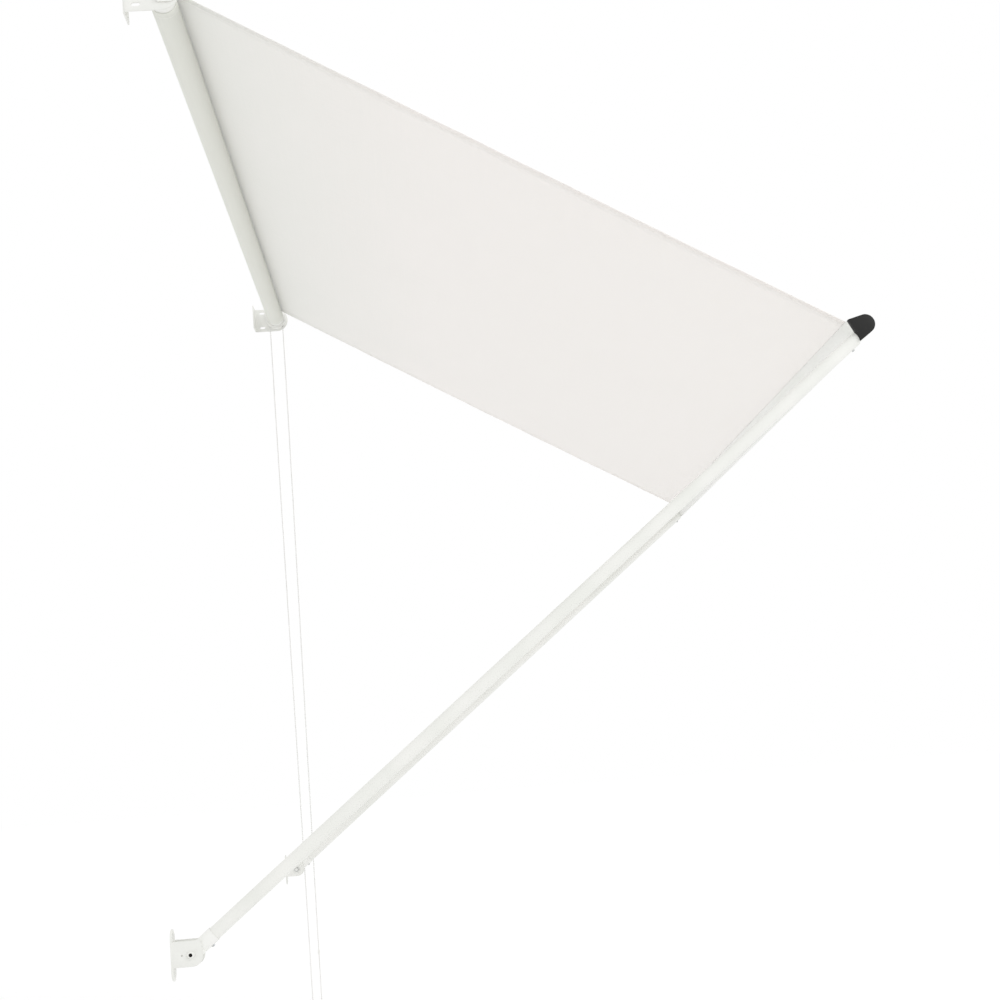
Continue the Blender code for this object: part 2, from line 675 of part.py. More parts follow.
def cut_arm_notch(bar, side):
    """Opens the bar's back from its end, so that a corner slides in with its neck."""
    name = "front_bar_notch_" + side
    radius = ARM_NECK_RADIUS + GAP
    x, y = side_x(side, ARM_INSET), ARM_NECK_OFFSET
    start = -math.pi / 2 if side == "left" else math.pi / 2
    end_x = side_x(side, CAP_INSET)
    reach = radius if side == "left" else -radius
    outline = arc(x, y, radius, start, start + math.pi, 12) + [(end_x, y + reach), (end_x, y - reach)]
    bottom = BAR_UP - SPIGOT_TOP - radius
    combine(bar, outline_solid(name, [outline], bottom, bottom + SPIGOT_TOP, FROM_ABOVE, parent=FRAME_AXIS))


def front_bar():
    """A hollow extrusion with a round nose and a flat back, and a groove that holds the cloth's hem."""
    name = "front_bar"
    inset = CAP_INSET + CAP_WIDTH + GAP
    low, high = side_x("left", inset), side_x("right", inset)
    past = 0.01
    outer = in_frame(bar_outline(0))
    hollow = in_frame(bar_outline(BAR_WALL))
    bar = outline_solid(name, [outer], low, high, SIDE_ON, parent=FRAME_AXIS)
    for side in ("left", "right"):
        cut_arm_notch(bar, side)
    combine(bar, outline_solid(name + "_hollow", [hollow], low - past, high + past, SIDE_ON, parent=FRAME_AXIS))
    centre = groove_centre()
    land = GROOVE_RADIUS + BAR_WALL
    boss_place = at(low, centre.y, centre.z, ALONG_X)
    combine(bar, cylinder(name + "_boss", land, high - low, boss_place, parent=FRAME_AXIS, segments=24), "UNION")
    groove_place = at(low - past, centre.y, centre.z, ALONG_X)
    length = high - low + 2 * past
    groove = cylinder(name + "_groove", GROOVE_RADIUS, length, groove_place, parent=FRAME_AXIS, segments=24)
    combine(bar, groove)
    start, end = cloth_line()
    to_roller = (FRAME_AXIS.matrix_world.inverted().to_3x3() @ (start - end)).normalized()
    turn = Matrix.Rotation(math.atan2(-to_roller.y, to_roller.z), 4, "X")
    half = GROOVE_MOUTH / 2
    mouth_place = at(0, centre.y, centre.z, turn)
    mouth = box(name + "_mouth", (low - past, -half, 0), (high + past, half, 0.02), mouth_place, FRAME_AXIS)
    combine(bar, mouth)
    return finish_part(bar, name, ALUMINIUM)


def hem_rod():
    """The round rod in the cloth's hem, which can't pull out of the groove."""
    inset = CAP_INSET + CAP_WIDTH + 2 * GAP
    low, high = side_x("left", inset), side_x("right", inset)
    centre = groove_centre()
    place = at(low, centre.y, centre.z, ALONG_X)
    rod = cylinder("hem_rod", HEM_ROD_RADIUS, high - low, place, parent=FRAME_AXIS, segments=20)
    return finish_part(rod, "hem_rod", WHITE_PLASTIC)


def canopy():
    """The sheet of cloth between the roller and the front bar, pulled flat."""
    start, end = cloth_line()
    run = end - start
    turn = Matrix.Rotation(math.atan2(run.z, run.y), 4, "X")
    low, high = side_x("left", CLOTH_INSET), side_x("right", CLOTH_INSET)
    half = CLOTH_THICKNESS / 2
    place = CLOTH_AXIS.matrix_world.inverted() @ at(0, start.y, start.z, turn)
    sheet = box("canopy", (low, 0, -half), (high, run.length, half), place, CLOTH_AXIS)
    return finish_part(sheet, "canopy", CREAM_CLOTH, smooth=False)


def on_roller(x):
    """A place on the roller's own axis at that X, for pieces that run towards high X."""
    return Matrix.Translation((0, 0, x))


def roller_tube():
    """The coated aluminium tube that the cloth winds on."""
    low = side_x("left", PLUG_INSET + PLUG_RIM + GAP)
    high = side_x("right", SLEEVE_INSET + SLEEVE_RIM + GAP)
    profile = ring_profile(TUBE_RADIUS, TUBE_RADIUS - TUBE_WALL, 0, high - low)
    tube = turned("roller_tube", profile, on_roller(low), parent=ROLLER_AXIS, steps=36)
    return finish_part(tube, "roller_tube", ALUMINIUM)


def cloth_roll():
    """The turns of cloth that stay on the tube with the awning open."""
    low, high = side_x("left", CLOTH_INSET), side_x("right", CLOTH_INSET)
    profile = ring_profile(ROLL_RADIUS, TUBE_RADIUS + GAP, 0, high - low)
    roll = turned("cloth_roll", profile, on_roller(low), parent=ROLLER_AXIS, steps=36)
    return finish_part(roll, "cloth_roll", CREAM_CLOTH)


def idle_plug():
    """The end plug of the tube, with a rim that stands against the tube's end."""
    low = side_x("left", PLUG_INSET)
    bore = IDLE_BUSH_RADIUS + GAP
    inside = TUBE_RADIUS - TUBE_WALL - GAP
    profile = [(inside, PLUG_LENGTH), (inside, PLUG_RIM), (TUBE_RADIUS, PLUG_RIM), (TUBE_RADIUS, 0)]
    profile += [(bore, 0), (bore, PLUG_LENGTH)]
    plug = turned("idle_plug", profile, on_roller(low), parent=ROLLER_AXIS)
    return finish_part(plug, "idle_plug", WHITE_PLASTIC)


def idle_bush():
    """The bearing sleeve that turns on the idle pin."""
    low = side_x("left", PLUG_INSET)
    profile = ring_profile(IDLE_BUSH_RADIUS, PIN_RADIUS + GAP, 0, PLUG_LENGTH - 0.002)
    bush = turned("idle_bush", profile, on_roller(low), parent=ROLLER_AXIS, steps=18)
    return finish_part(bush, "idle_bush", WHITE_PLASTIC)


def idle_pin():
    """The steel stud of the idle end, with a collar behind the bracket's plate."""
    low = side_x("left", -KEEPER_THICKNESS + KEEPER_CHANNEL_DEPTH)
    plate = STEEL + GAP + KEEPER_THICKNESS - KEEPER_CHANNEL_DEPTH
    collar = PLUG_INSET - STEEL - 2 * GAP
    length = plate - STEEL - GAP + PIN_INSIDE
    profile = [(0, length), (PIN_RADIUS, length), (PIN_RADIUS, plate + collar)]
    profile += [(PIN_COLLAR_RADIUS, plate + collar), (PIN_COLLAR_RADIUS, plate), (PIN_RADIUS, plate)]
    profile += [(PIN_RADIUS, 0), (0, 0)]
    pin = turned("idle_pin", profile, at(low, -ROLLER_OUT, 0, ALONG_X), steps=18, closed=False)
    return finish_part(pin, "idle_pin", ZINC)


def pin_keeper():
    """A plastic block on the outside of the idle bracket, with a rib down each side."""
    high = side_x("left", -GAP)
    low = high - KEEPER_THICKNESS
    y_low, y_high = -ROLLER_OUT - KEEPER_OUTWARD, -ROLLER_OUT + KEEPER_INWARD
    half = KEEPER_HALF_HEIGHT
    rounding = KEEPER_RIB * 2
    loops = [
        rounded_box(y_low, y_high, -half, half, (rounding, rounding, rounding, rounding)),
        circle(-ROLLER_OUT, 0, PIN_RADIUS + GAP),
    ]
    for z in (-KEEPER_SCREW_HEIGHT, KEEPER_SCREW_HEIGHT):
        loops.append(circle(-ROLLER_OUT - KEEPER_SCREW_OUT, z, SCREW_RADIUS + GAP, 12))
    keeper = outline_solid("pin_keeper", loops, low, high, SIDE_ON)
    channel_low = (low - 0.01, y_low + KEEPER_RIB, -2 * half)
    channel_high = (low + KEEPER_CHANNEL_DEPTH, y_high - KEEPER_RIB, 2 * half)
    combine(keeper, box("pin_keeper_channel", channel_low, channel_high))
    return finish_part(keeper, "pin_keeper", WHITE_PLASTIC)


def keeper_screw(end):
    """A small screw that holds the keeper on the bracket, above or below the pin."""
    x = side_x("left", -GAP - KEEPER_THICKNESS + KEEPER_CHANNEL_DEPTH - GAP)
    z = KEEPER_SCREW_HEIGHT if end == "upper" else -KEEPER_SCREW_HEIGHT
    place = at(x, -ROLLER_OUT - KEEPER_SCREW_OUT, z, ALONG_X)
    name = end + "_keeper_screw"
    screw = small_screw(name, SCREW_RADIUS, SCREW_HEAD_RADIUS, place, None, SCREW_LENGTH)
    return finish_part(screw, name, ZINC)


def on_drive(inset):
    """A place on the drive end's axis, for pieces that run from the right bracket towards low X."""
    return at(side_x("right", inset), -ROLLER_OUT, 0, ALONG_MINUS_X)


def clutch_hub():
    """The fixed core of the chain drive, screwed to the bracket by its flange."""
    profile = [(0, HUB_LENGTH), (HUB_RADIUS, HUB_LENGTH), (HUB_RADIUS, HUB_FLANGE)]
    profile += [(HUB_FLANGE_RADIUS, HUB_FLANGE), (HUB_FLANGE_RADIUS, 0), (0, 0)]
    hub = turned("clutch_hub", profile, on_drive(STEEL + GAP), closed=False)
    x_out, x_in = side_x("right", -0.01), side_x("right", 0.02)
    holes = [circle(-ROLLER_OUT, z, HUB_SCREW_RADIUS + GAP, 16) for z in (-HUB_SCREW_HEIGHT, HUB_SCREW_HEIGHT)]
    combine(hub, outline_solid("clutch_hub_holes", holes, x_in, x_out, SIDE_ON))
    return finish_part(hub, "clutch_hub", WHITE_PLASTIC)


def hub_screw(end):
    """A screw from outside that holds the hub on the bracket, above or below its axis."""
    z = HUB_SCREW_HEIGHT if end == "upper" else -HUB_SCREW_HEIGHT
    place = at(side_x("right", -GAP), -ROLLER_OUT, z, ALONG_MINUS_X)
    name = end + "_hub_screw"
    length = STEEL + HUB_FLANGE + GAP
    screw = small_screw(name, HUB_SCREW_RADIUS, 2 * HUB_SCREW_RADIUS, place, None, length)
    return finish_part(screw, name, ZINC)


def chain_wheel():
    """The pocketed wheel that the ball chain pulls, in one with the sleeve that drives the tube."""
    first = CHAIN_INSET - WHEEL_WIDTH / 2
    last = CHAIN_INSET + WHEEL_WIDTH / 2
    shoulder = SLEEVE_INSET
    rim = SLEEVE_INSET + SLEEVE_RIM
    end = rim + SLEEVE_LENGTH
    inside = TUBE_RADIUS - TUBE_WALL - GAP
    bore = HUB_RADIUS + GAP
    spring_start, spring_end = spring_room()
    groove = arc(CHAIN_PITCH_RADIUS, CHAIN_INSET, CHAIN_DIAMETER / 2 + GAP, math.pi / 2, 3 * math.pi / 2, 6)
    groove = [(radius, height) for radius, height in groove if radius < WHEEL_RADIUS]
    profile = [(inside, end), (inside, rim), (TUBE_RADIUS, rim), (TUBE_RADIUS, shoulder)]
    profile += [(NECK_RADIUS, shoulder), (NECK_RADIUS, last), (WHEEL_RADIUS, last)]
    lip = CHAIN_DIAMETER / 2 + GAP
    profile += [(WHEEL_RADIUS, CHAIN_INSET + lip)] + groove + [(WHEEL_RADIUS, CHAIN_INSET - lip)]
    profile += [(WHEEL_RADIUS, first), (bore, first), (bore, spring_start)]
    profile += [(SPRING_ROOM_RADIUS, spring_start), (SPRING_ROOM_RADIUS, spring_end), (bore, spring_end)]
    profile += [(bore, end)]
    place = Matrix.Translation((0, 0, RIGHT)) @ Matrix.Rotation(math.pi, 4, "X")
    wheel = turned("chain_wheel", profile, place, parent=ROLLER_AXIS)
    work = bmesh.new()
    for i in range(WHEEL_POCKETS):
        turn = Matrix.Rotation(2 * math.pi * i / WHEEL_POCKETS, 4, "Z")
        reach = CHAIN_PITCH_RADIUS - CHAIN_DIAMETER / 2
        size = CHAIN_DIAMETER * 0.8
        spot = turn @ Matrix.Translation((reach, 0, CHAIN_INSET)) @ Matrix.Diagonal((0.002, size, size, 1))
        bmesh.ops.create_cube(work, size=1, matrix=spot)
    mesh = bpy.data.meshes.new("chain_wheel_pockets")
    work.to_mesh(mesh)
    work.free()
    combine(wheel, new_object("chain_wheel_pockets", mesh, matrix=place, parent=ROLLER_AXIS))
    return finish_part(wheel, "chain_wheel", WHITE_PLASTIC)


def spring_room():
    """Where the room for the brake spring starts and ends, inwards from the bracket's outer face."""
    start = SLEEVE_INSET + SLEEVE_RIM
    return start, start + SPRING_TURNS * SPRING_PITCH + 4 * SPRING_WIRE


def wrap_spring():
    """The coil that grips the hub and holds the roller until the chain is pulled."""
    start, end = spring_room()
    per_turn = 10
    count = SPRING_TURNS * per_turn
    first = (start + end - SPRING_TURNS * SPRING_PITCH) / 2
    data = bpy.data.curves.new("wrap_spring", "CURVE")
    data.dimensions = "3D"
    data.bevel_depth = SPRING_WIRE / 2
    data.bevel_resolution = 2
    data.use_fill_caps = True
    spline = data.splines.new("POLY")
    spline.points.add(count)
    for i, point in enumerate(spline.points):
        t = 2 * math.pi * i / per_turn
        height = first + SPRING_PITCH * i / per_turn
        point.co = (SPRING_RADIUS * math.cos(t), SPRING_RADIUS * math.sin(t), height, 1)
    spring = new_object("wrap_spring", data, matrix=on_drive(0))
    return finish_part(spring, "wrap_spring", ZINC)


def chain_cover():
    """A round plastic guard over the wheel, open to the bracket and slotted below for the chain."""
    depth = COVER_DEPTH
    r, wall = COVER_RADIUS, COVER_WALL
    hole = NECK_RADIUS + 2 * GAP
    soft = wall / 2
    profile = [(r - soft, depth), (r, depth - soft), (r, 0), (r - wall, 0), (r - wall, depth - wall)]
    profile += [(hole, depth - wall), (hole, depth)]
    cover = turned("chain_cover", profile, on_drive(STEEL + GAP), steps=36)
    half = CHAIN_SLOT_WIDTH / 2
    x_low, x_high = side_x("right", CHAIN_INSET + half), side_x("right", CHAIN_INSET - half)
    for i, y in enumerate((-CHAIN_PITCH_RADIUS, CHAIN_PITCH_RADIUS)):
        low = (x_low, -ROLLER_OUT + y - half, -r - half)
        high = (x_high, -ROLLER_OUT + y + half, -r / 2)
        combine(cover, box("chain_cover_slot_%d" % i, low, high))
    return finish_part(cover, "chain_cover", WHITE_PLASTIC)


def tube_along(name, points, matrix=FROM_ABOVE):
    """A round cord along points."""
    data = bpy.data.curves.new(name, "CURVE")
    data.dimensions = "3D"
    data.bevel_depth = CHAIN_DIAMETER / 2
    data.bevel_resolution = 2
    data.use_fill_caps = True
    spline = data.splines.new("POLY")
    spline.points.add(len(points) - 1)
    for point, co in zip(spline.points, points):
        point.co = (*co, 1)
    return new_object(name, data, matrix=matrix)


def chain_wrap():
    """The half turn of chain that lies over the top of the wheel."""
    x = side_x("right", CHAIN_INSET)
    ends = 0.5 * GAP / CHAIN_PITCH_RADIUS
    half_turn = arc(-ROLLER_OUT, 0, CHAIN_PITCH_RADIUS, ends, math.pi - ends, 14)
    wrap = tube_along("chain_wrap", [(x, y, z) for y, z in half_turn])
    return finish_part(wrap, "chain_wrap", WHITE_PLASTIC)


def smooth_step(t):
    return t * t * (3 - 2 * t)


def loop_route():
    """The hanging chain: straight out of the wheel, slowly closer together, and round at the bottom."""
    x = side_x("right", CHAIN_INSET)
    low = -LOOP_DROP + LOOP_HALF_WIDTH
    down = []
    for i in range(LOOP_POINTS_PER_RUN):
        t = i / LOOP_POINTS_PER_RUN
        width = CHAIN_PITCH_RADIUS + (LOOP_HALF_WIDTH - CHAIN_PITCH_RADIUS) * smooth_step(t)
        down.append((width, -0.5 * GAP + (low + 0.5 * GAP) * t))
    bottom = arc(0, low, LOOP_HALF_WIDTH, 0, -math.pi, 12)
    left_run = [(-y, z) for y, z in down]
    outline = left_run + [(-y, z) for y, z in bottom] + [(y, z) for y, z in reversed(down)]
    return [(x, -ROLLER_OUT + y, z) for y, z in outline]


def chain_loop():
    """The hanging loop that the user pulls."""
    loop = tube_along("chain_loop", loop_route())
    return finish_part(loop, "chain_loop", WHITE_PLASTIC)


def chain_connector():
    """The clip that closes the loop, round the outer run near the bottom."""
    x = side_x("right", CHAIN_INSET)
    z = -LOOP_DROP + CONNECTOR_UP
    t = z / (-LOOP_DROP + LOOP_HALF_WIDTH)
    width = CHAIN_PITCH_RADIUS + (LOOP_HALF_WIDTH - CHAIN_PITCH_RADIUS) * smooth_step(t)
    profile = ring_profile(CONNECTOR_RADIUS, CHAIN_DIAMETER / 2 + GAP, 0, CONNECTOR_LENGTH)
    clip = turned("chain_connector", profile, at(x, -ROLLER_OUT - width, z), steps=16)
    return finish_part(clip, "chain_connector", WHITE_PLASTIC)


def build():
    for side in ("left", "right"):
        roller_bracket(side)
        arm_bracket(side)
        pivot_bolt(side)
        pivot_nut(side)
        pivot_bush(side)
        arm_socket(side)
        arm_tube(side)
        corner_piece(side)
        for end in ("lower", "upper"):
            arm_screw(side, end)
    front_bar()
    hem_rod()
    canopy()
    roller_tube()
    cloth_roll()
    idle_plug()
    idle_bush()
    idle_pin()
    pin_keeper()
    clutch_hub()
    for end in ("lower", "upper"):
        keeper_screw(end)
        hub_screw(end)
    chain_wheel()
    wrap_spring()
    chain_cover()
    chain_wrap()
    chain_loop()
    chain_connector()


bpy.context.view_layer.update()
build()
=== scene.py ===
# %% [markdown]
# # Dressing a drop-arm canvas awning
#
# The awning hangs on a wall by its roller brackets. A sheet of cloth leaves the top of the roller and
# slopes down to a front bar, which two tube arms hold out from the wall. A ball chain at one end turns
# the roller. The measured parts are loaded first and never changed. This lesson works out how each
# finish looks close up, makes the chain, the cloth, the tubes and the screws, and then gives the other
# parts that show fine edges.

# %% Load the measured parts
import json
import math

import bpy
import numpy as np
from mathutils import Matrix, Vector

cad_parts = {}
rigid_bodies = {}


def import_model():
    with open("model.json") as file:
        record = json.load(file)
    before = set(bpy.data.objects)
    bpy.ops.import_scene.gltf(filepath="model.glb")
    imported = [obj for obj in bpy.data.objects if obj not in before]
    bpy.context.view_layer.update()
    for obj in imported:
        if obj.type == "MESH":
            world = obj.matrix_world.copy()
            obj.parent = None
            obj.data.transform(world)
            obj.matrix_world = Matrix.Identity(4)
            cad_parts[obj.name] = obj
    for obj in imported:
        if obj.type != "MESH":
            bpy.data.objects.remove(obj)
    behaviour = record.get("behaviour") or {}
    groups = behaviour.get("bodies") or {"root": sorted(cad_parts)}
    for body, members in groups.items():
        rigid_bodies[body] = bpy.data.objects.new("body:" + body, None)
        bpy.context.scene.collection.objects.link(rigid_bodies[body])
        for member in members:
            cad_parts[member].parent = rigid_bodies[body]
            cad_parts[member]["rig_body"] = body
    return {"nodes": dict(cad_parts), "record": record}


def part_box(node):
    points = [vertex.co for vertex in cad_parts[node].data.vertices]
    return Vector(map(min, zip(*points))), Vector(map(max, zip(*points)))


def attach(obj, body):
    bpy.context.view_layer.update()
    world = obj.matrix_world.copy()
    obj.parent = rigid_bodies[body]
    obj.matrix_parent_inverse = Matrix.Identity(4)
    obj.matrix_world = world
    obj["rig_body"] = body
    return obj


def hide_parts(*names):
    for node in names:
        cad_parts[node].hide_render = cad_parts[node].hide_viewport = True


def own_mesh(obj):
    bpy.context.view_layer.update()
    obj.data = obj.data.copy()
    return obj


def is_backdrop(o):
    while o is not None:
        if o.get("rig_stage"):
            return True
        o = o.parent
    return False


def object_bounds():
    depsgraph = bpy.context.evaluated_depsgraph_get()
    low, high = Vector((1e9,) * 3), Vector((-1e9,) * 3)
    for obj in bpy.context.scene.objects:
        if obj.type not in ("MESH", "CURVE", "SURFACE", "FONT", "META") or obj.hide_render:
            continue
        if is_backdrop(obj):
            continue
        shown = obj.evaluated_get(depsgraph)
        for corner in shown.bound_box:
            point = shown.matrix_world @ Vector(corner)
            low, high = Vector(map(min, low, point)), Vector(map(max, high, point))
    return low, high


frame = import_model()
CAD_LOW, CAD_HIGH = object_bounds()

CAD = frame["nodes"]
print("box from", [round(x, 3) for x in CAD_LOW], "to", [round(x, 3) for x in CAD_HIGH])

# %% [markdown]
# ## Where things are
#
# X runs along the roller, the wall is the plane Y = 0 and the awning stands out towards -Y. These are the
# sizes, in metres, that the new pieces have to meet: the two ends, how far the roller's axis and the arms'
# pivots stand out, the roll, the cloth's thickness and the chain.

# %% Sizes that the new pieces share with the measured ones
LEFT, RIGHT = -0.025, 1.975
GAP = 0.0003
ROLLER_OUT = 0.072
PIVOT_OUT = 0.036
ROLL_RADIUS = 0.0265
CLOTH_THICKNESS = 0.0008
CHAIN_DIAMETER = 0.0045
CHAIN_PITCH_RADIUS = 0.02075
CHAIN_INSET = 0.0105
MM = 0.001

PIVOT_DROP = -(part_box("left_pivot_bolt")[0].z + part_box("left_pivot_bolt")[1].z) / 2
CLOTH_LEFT, CLOTH_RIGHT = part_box("canopy")[0].x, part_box("canopy")[1].x
CLOTH_WIDTH = CLOTH_RIGHT - CLOTH_LEFT
print("the cloth is", round(CLOTH_WIDTH, 3), "m wide")
print("the arms' pivots are", round(PIVOT_DROP, 4), "m below the roller's axis")

# %% [markdown]
# ## The camera
#
# The picture was taken from below and beside the near end, looking along the roller and slightly up. Its
# place was worked out by fitting the parts' known points to where they show. The view is leaned a few
# degrees, so the camera is turned about three axes, one after another. The lens is shifted upward a
# little, as an architect's is, so that the camera itself looks up less.

# %% Place the camera
CAMERA_AT = Vector((-2.5462, -0.4900, -1.5017))
LOOK_ASIDE, LOOK_UP, LEAN = (math.radians(a) for a in (3.285, 6.362, -4.431))
FOCAL_PIXELS = 1377.9

forward = Vector(
    (
        math.cos(LOOK_ASIDE) * math.cos(LOOK_UP),
        -math.sin(LOOK_ASIDE) * math.cos(LOOK_UP),
        math.sin(LOOK_UP),
    )
)
level = forward.cross(Vector((0, 0, 1))).normalized()
above = level.cross(forward)
right = level * math.cos(LEAN) + above * math.sin(LEAN)
up = above * math.cos(LEAN) - level * math.sin(LEAN)

lens = bpy.data.cameras.new("camera")
lens.sensor_width = 36
lens.lens = FOCAL_PIXELS * lens.sensor_width / 1000
lens.shift_y = 0.10
camera = bpy.data.objects.new("camera", lens)
bpy.context.scene.collection.objects.link(camera)
camera.matrix_world = Matrix.Translation(CAMERA_AT) @ Matrix((right, up, -forward)).transposed().to_4x4()
bpy.context.scene.camera = camera
print("lens", round(lens.lens, 1), "mm")

# %% [markdown]
# ## Small helpers
#
# Every finish is a net of shader nodes, so one short function adds a node, gives it its settings and
# plugs its sockets in. Colours are written as sRGB hex values, the way a paint card gives them, and one
# function turns them to the linear numbers that a renderer adds and multiplies.

# %% Colours and nodes
def linear(hex_colour):
    shares = [int(hex_colour[i : i + 2], 16) / 255 for i in (0, 2, 4)]
    return [s / 12.92 if s <= 0.04045 else ((s + 0.055) / 1.055) ** 2.4 for s in shares] + [1]


def add(tree, kind, sockets=None, **settings):
    """A node of that kind, with its settings, and with values or links in its sockets."""
    made = tree.nodes.new("ShaderNode" + kind)
    for key, value in settings.items():
        setattr(made, key, value)
    for key, value in (sockets or {}).items():
        if isinstance(value, bpy.types.NodeSocket):
            tree.links.new(value, made.inputs[key])
        else:
            made.inputs[key].default_value = value
    return made


def finish_of(name, **values):
    """A new material with its Principled shader, and the values that are the same all over."""
    material = bpy.data.materials.new(name)
    material.use_nodes = True
    tree = material.node_tree
    shader = tree.nodes["Principled BSDF"]
    for key, value in values.items():
        shader.inputs[key.replace("_", " ")].default_value = value
    return material, tree, shader


def noise(tree, where, size, detail=2.0, roughness=0.5, stretch=(1, 1, 1)):
    """Soft random patches about size metres across, drawn out along an axis by stretch."""
    scale = [1 / (size * s) for s in stretch]
    mapped = add(tree, "Mapping", {"Vector": where, "Scale": scale})
    values = {"Vector": mapped.outputs[0], "Scale": 1.0, "Detail": detail, "Roughness": roughness}
    return add(tree, "TexNoise", values).outputs[0]


def between(tree, factor, low, high):
    """Colours or numbers from low to high as the factor goes from 0.3 to 0.7, where noise mostly lies."""
    if isinstance(low, str):
        ramp = add(tree, "ValToRGB", {"Fac": factor})
        for stop, place, colour in zip(ramp.color_ramp.elements, (0.3, 0.7), (low, high)):
            stop.position, stop.color = place, linear(colour)
        return ramp.outputs[0]
    values = {"Value": factor, "From Min": 0.3, "From Max": 0.7, "To Min": low, "To Max": high}
    return add(tree, "MapRange", values).outputs[0]


def bump(tree, height, depth, under=None):
    """Relief of that depth in metres from a height between 0 and 1."""
    values = {"Height": height, "Distance": depth, "Strength": 1.0}
    if under is not None:
        values["Normal"] = under
    return add(tree, "Bump", values).outputs[0]


print("a mid grey 808080 is", round(linear("808080")[0], 3), "in linear light")

# %% [markdown]
# ## White powder coat on steel
#
# The brackets and arm tubes are steel, dusted with polyester powder and baked. The powder flows as it
# melts but stays a little rounded, like the skin of an orange, with cells about 1.5 mm across. That
# gives broad soft highlights that break up close to. The white is a cool, faintly grey one.

# %% Powder-coated steel
coat, tree, shader = finish_of("powder_coated_steel", Roughness=0.36, IOR=1.5)
place = add(tree, "TexCoord").outputs["Object"]
patches = noise(tree, place, 0.09)
cells = noise(tree, place, 1.5 * MM, detail=1.0)
specks = noise(tree, place, 0.35 * MM, detail=0.0)
tree.links.new(between(tree, patches, "E5E6E1", "EBEBE7"), shader.inputs["Base Color"])
tree.links.new(between(tree, patches, 0.36, 0.46), shader.inputs["Roughness"])
peel = bump(tree, cells, 0.005 * MM)
tree.links.new(bump(tree, specks, 0.001 * MM, peel), shader.inputs["Normal"])
POWDERED_STEEL = coat
print("made", coat.name)

# %% [markdown]
# ## White powder coat on aluminium
#
# The front bar is pushed hot through a die, and the arm sockets are cast and then coated. The die leaves
# faint lines along the bar that still show through the powder, so a finer orange peel lies over noise
# that is drawn out 120 times along X.

# %% Powder-coated aluminium
coat, tree, shader = finish_of("powder_coated_aluminium", Roughness=0.34, IOR=1.5)
place = add(tree, "TexCoord").outputs["Object"]
patches = noise(tree, place, 0.12)
cells = noise(tree, place, 1.2 * MM, detail=1.0)
die_lines = noise(tree, place, 1.6 * MM, detail=1.0, stretch=(120, 1, 1))
tree.links.new(between(tree, patches, "EAEBE6", "EEEEEB"), shader.inputs["Base Color"])
tree.links.new(between(tree, patches, 0.34, 0.44), shader.inputs["Roughness"])
drawn = bump(tree, die_lines, 0.010 * MM)
tree.links.new(bump(tree, cells, 0.008 * MM, drawn), shader.inputs["Normal"])
POWDERED_ALUMINIUM = coat
print("made", coat.name)

# %% [markdown]
# ## Black moulded polyamide
#
# The two corner pieces are injection moulded in glass-filled polyamide. The mould is spark eroded, which
# leaves an even fine grain of about 0.6 mm. The grain scatters the light, and its pits keep some of it,
# so the black looks dark grey with one soft broad highlight and never a mirror-like one.

# %% Grained black plastic
moulding, tree, shader = finish_of("grained_black_polyamide", Roughness=0.6, IOR=1.53)
shader.inputs["Specular IOR Level"].default_value = 0.35
place = add(tree, "TexCoord").outputs["Object"]
cloudy = noise(tree, place, 0.02)
grain = noise(tree, place, 0.6 * MM, detail=1.5)
tree.links.new(between(tree, cloudy, "141413", "1B1B1A"), shader.inputs["Base Color"])
tree.links.new(between(tree, cloudy, 0.56, 0.68), shader.inputs["Roughness"])
tree.links.new(bump(tree, grain, 0.03 * MM), shader.inputs["Normal"])
BLACK_POLYAMIDE = moulding
print("made", moulding.name)

# %% [markdown]
# ## White moulded plastics
#
# The chain cover, the pin's keeper, the plugs and the bushes are acetal, a slippery white plastic with a
# waxy look: light goes in a little way and comes out again. A slow ripple of the moulded skin and a
# faint cloudiness keep it from looking like flat paint. The chain's balls are polyester, which is a
# little greyer and glossier here.

# %% White acetal and the chain's polyester balls
def waxy_plastic(name, low, high, gloss, ripple):
    material, tree, shader = finish_of(name, Roughness=gloss, IOR=1.48, Subsurface_Weight=0.12)
    shader.inputs["Subsurface Radius"].default_value = (1.0, 1.0, 0.95)
    shader.inputs["Subsurface Scale"].default_value = 0.6 * MM
    place = add(tree, "TexCoord").outputs["Object"]
    cloudy = noise(tree, place, 0.03)
    skin = noise(tree, place, ripple, detail=1.0)
    tree.links.new(between(tree, cloudy, low, high), shader.inputs["Base Color"])
    tree.links.new(between(tree, cloudy, gloss - 0.04, gloss + 0.06), shader.inputs["Roughness"])
    tree.links.new(bump(tree, skin, 0.02 * MM), shader.inputs["Normal"])
    return material


WHITE_ACETAL = waxy_plastic("white_acetal", "E9E9E5", "EFEFEB", 0.32, 2.5 * MM)
CHAIN_POLYESTER = waxy_plastic("chain_polyester", "E6E6E3", "EDEDEA", 0.22, 1.5 * MM)
print("made", WHITE_ACETAL.name, "and", CHAIN_POLYESTER.name)

# %% [markdown]
# ## Zinc-plated steel
#
# The nuts, the screws, the spring and the idle pin are steel with a thin coat of zinc. Zinc dulls in
# cloudy patches about a centimetre across, some bluer and some warmer, and drawing or rolling leaves
# fine lines under it. It is a metal, so its colour is the colour of what it mirrors.

# %% Zinc plate
plate, tree, shader = finish_of("zinc_plated_steel", Metallic=1.0, Roughness=0.3)
place = add(tree, "TexCoord").outputs["Object"]
clouds = noise(tree, place, 0.010, detail=3.0)
drawn_lines = noise(tree, place, 0.5 * MM, detail=1.0, stretch=(60, 1, 1))
tree.links.new(between(tree, clouds, "BFC3C6", "CECDC8"), shader.inputs["Base Color"])
tree.links.new(between(tree, clouds, 0.26, 0.40), shader.inputs["Roughness"])
tree.links.new(bump(tree, drawn_lines, 0.008 * MM), shader.inputs["Normal"])
ZINC_PLATE = plate
print("made", plate.name)

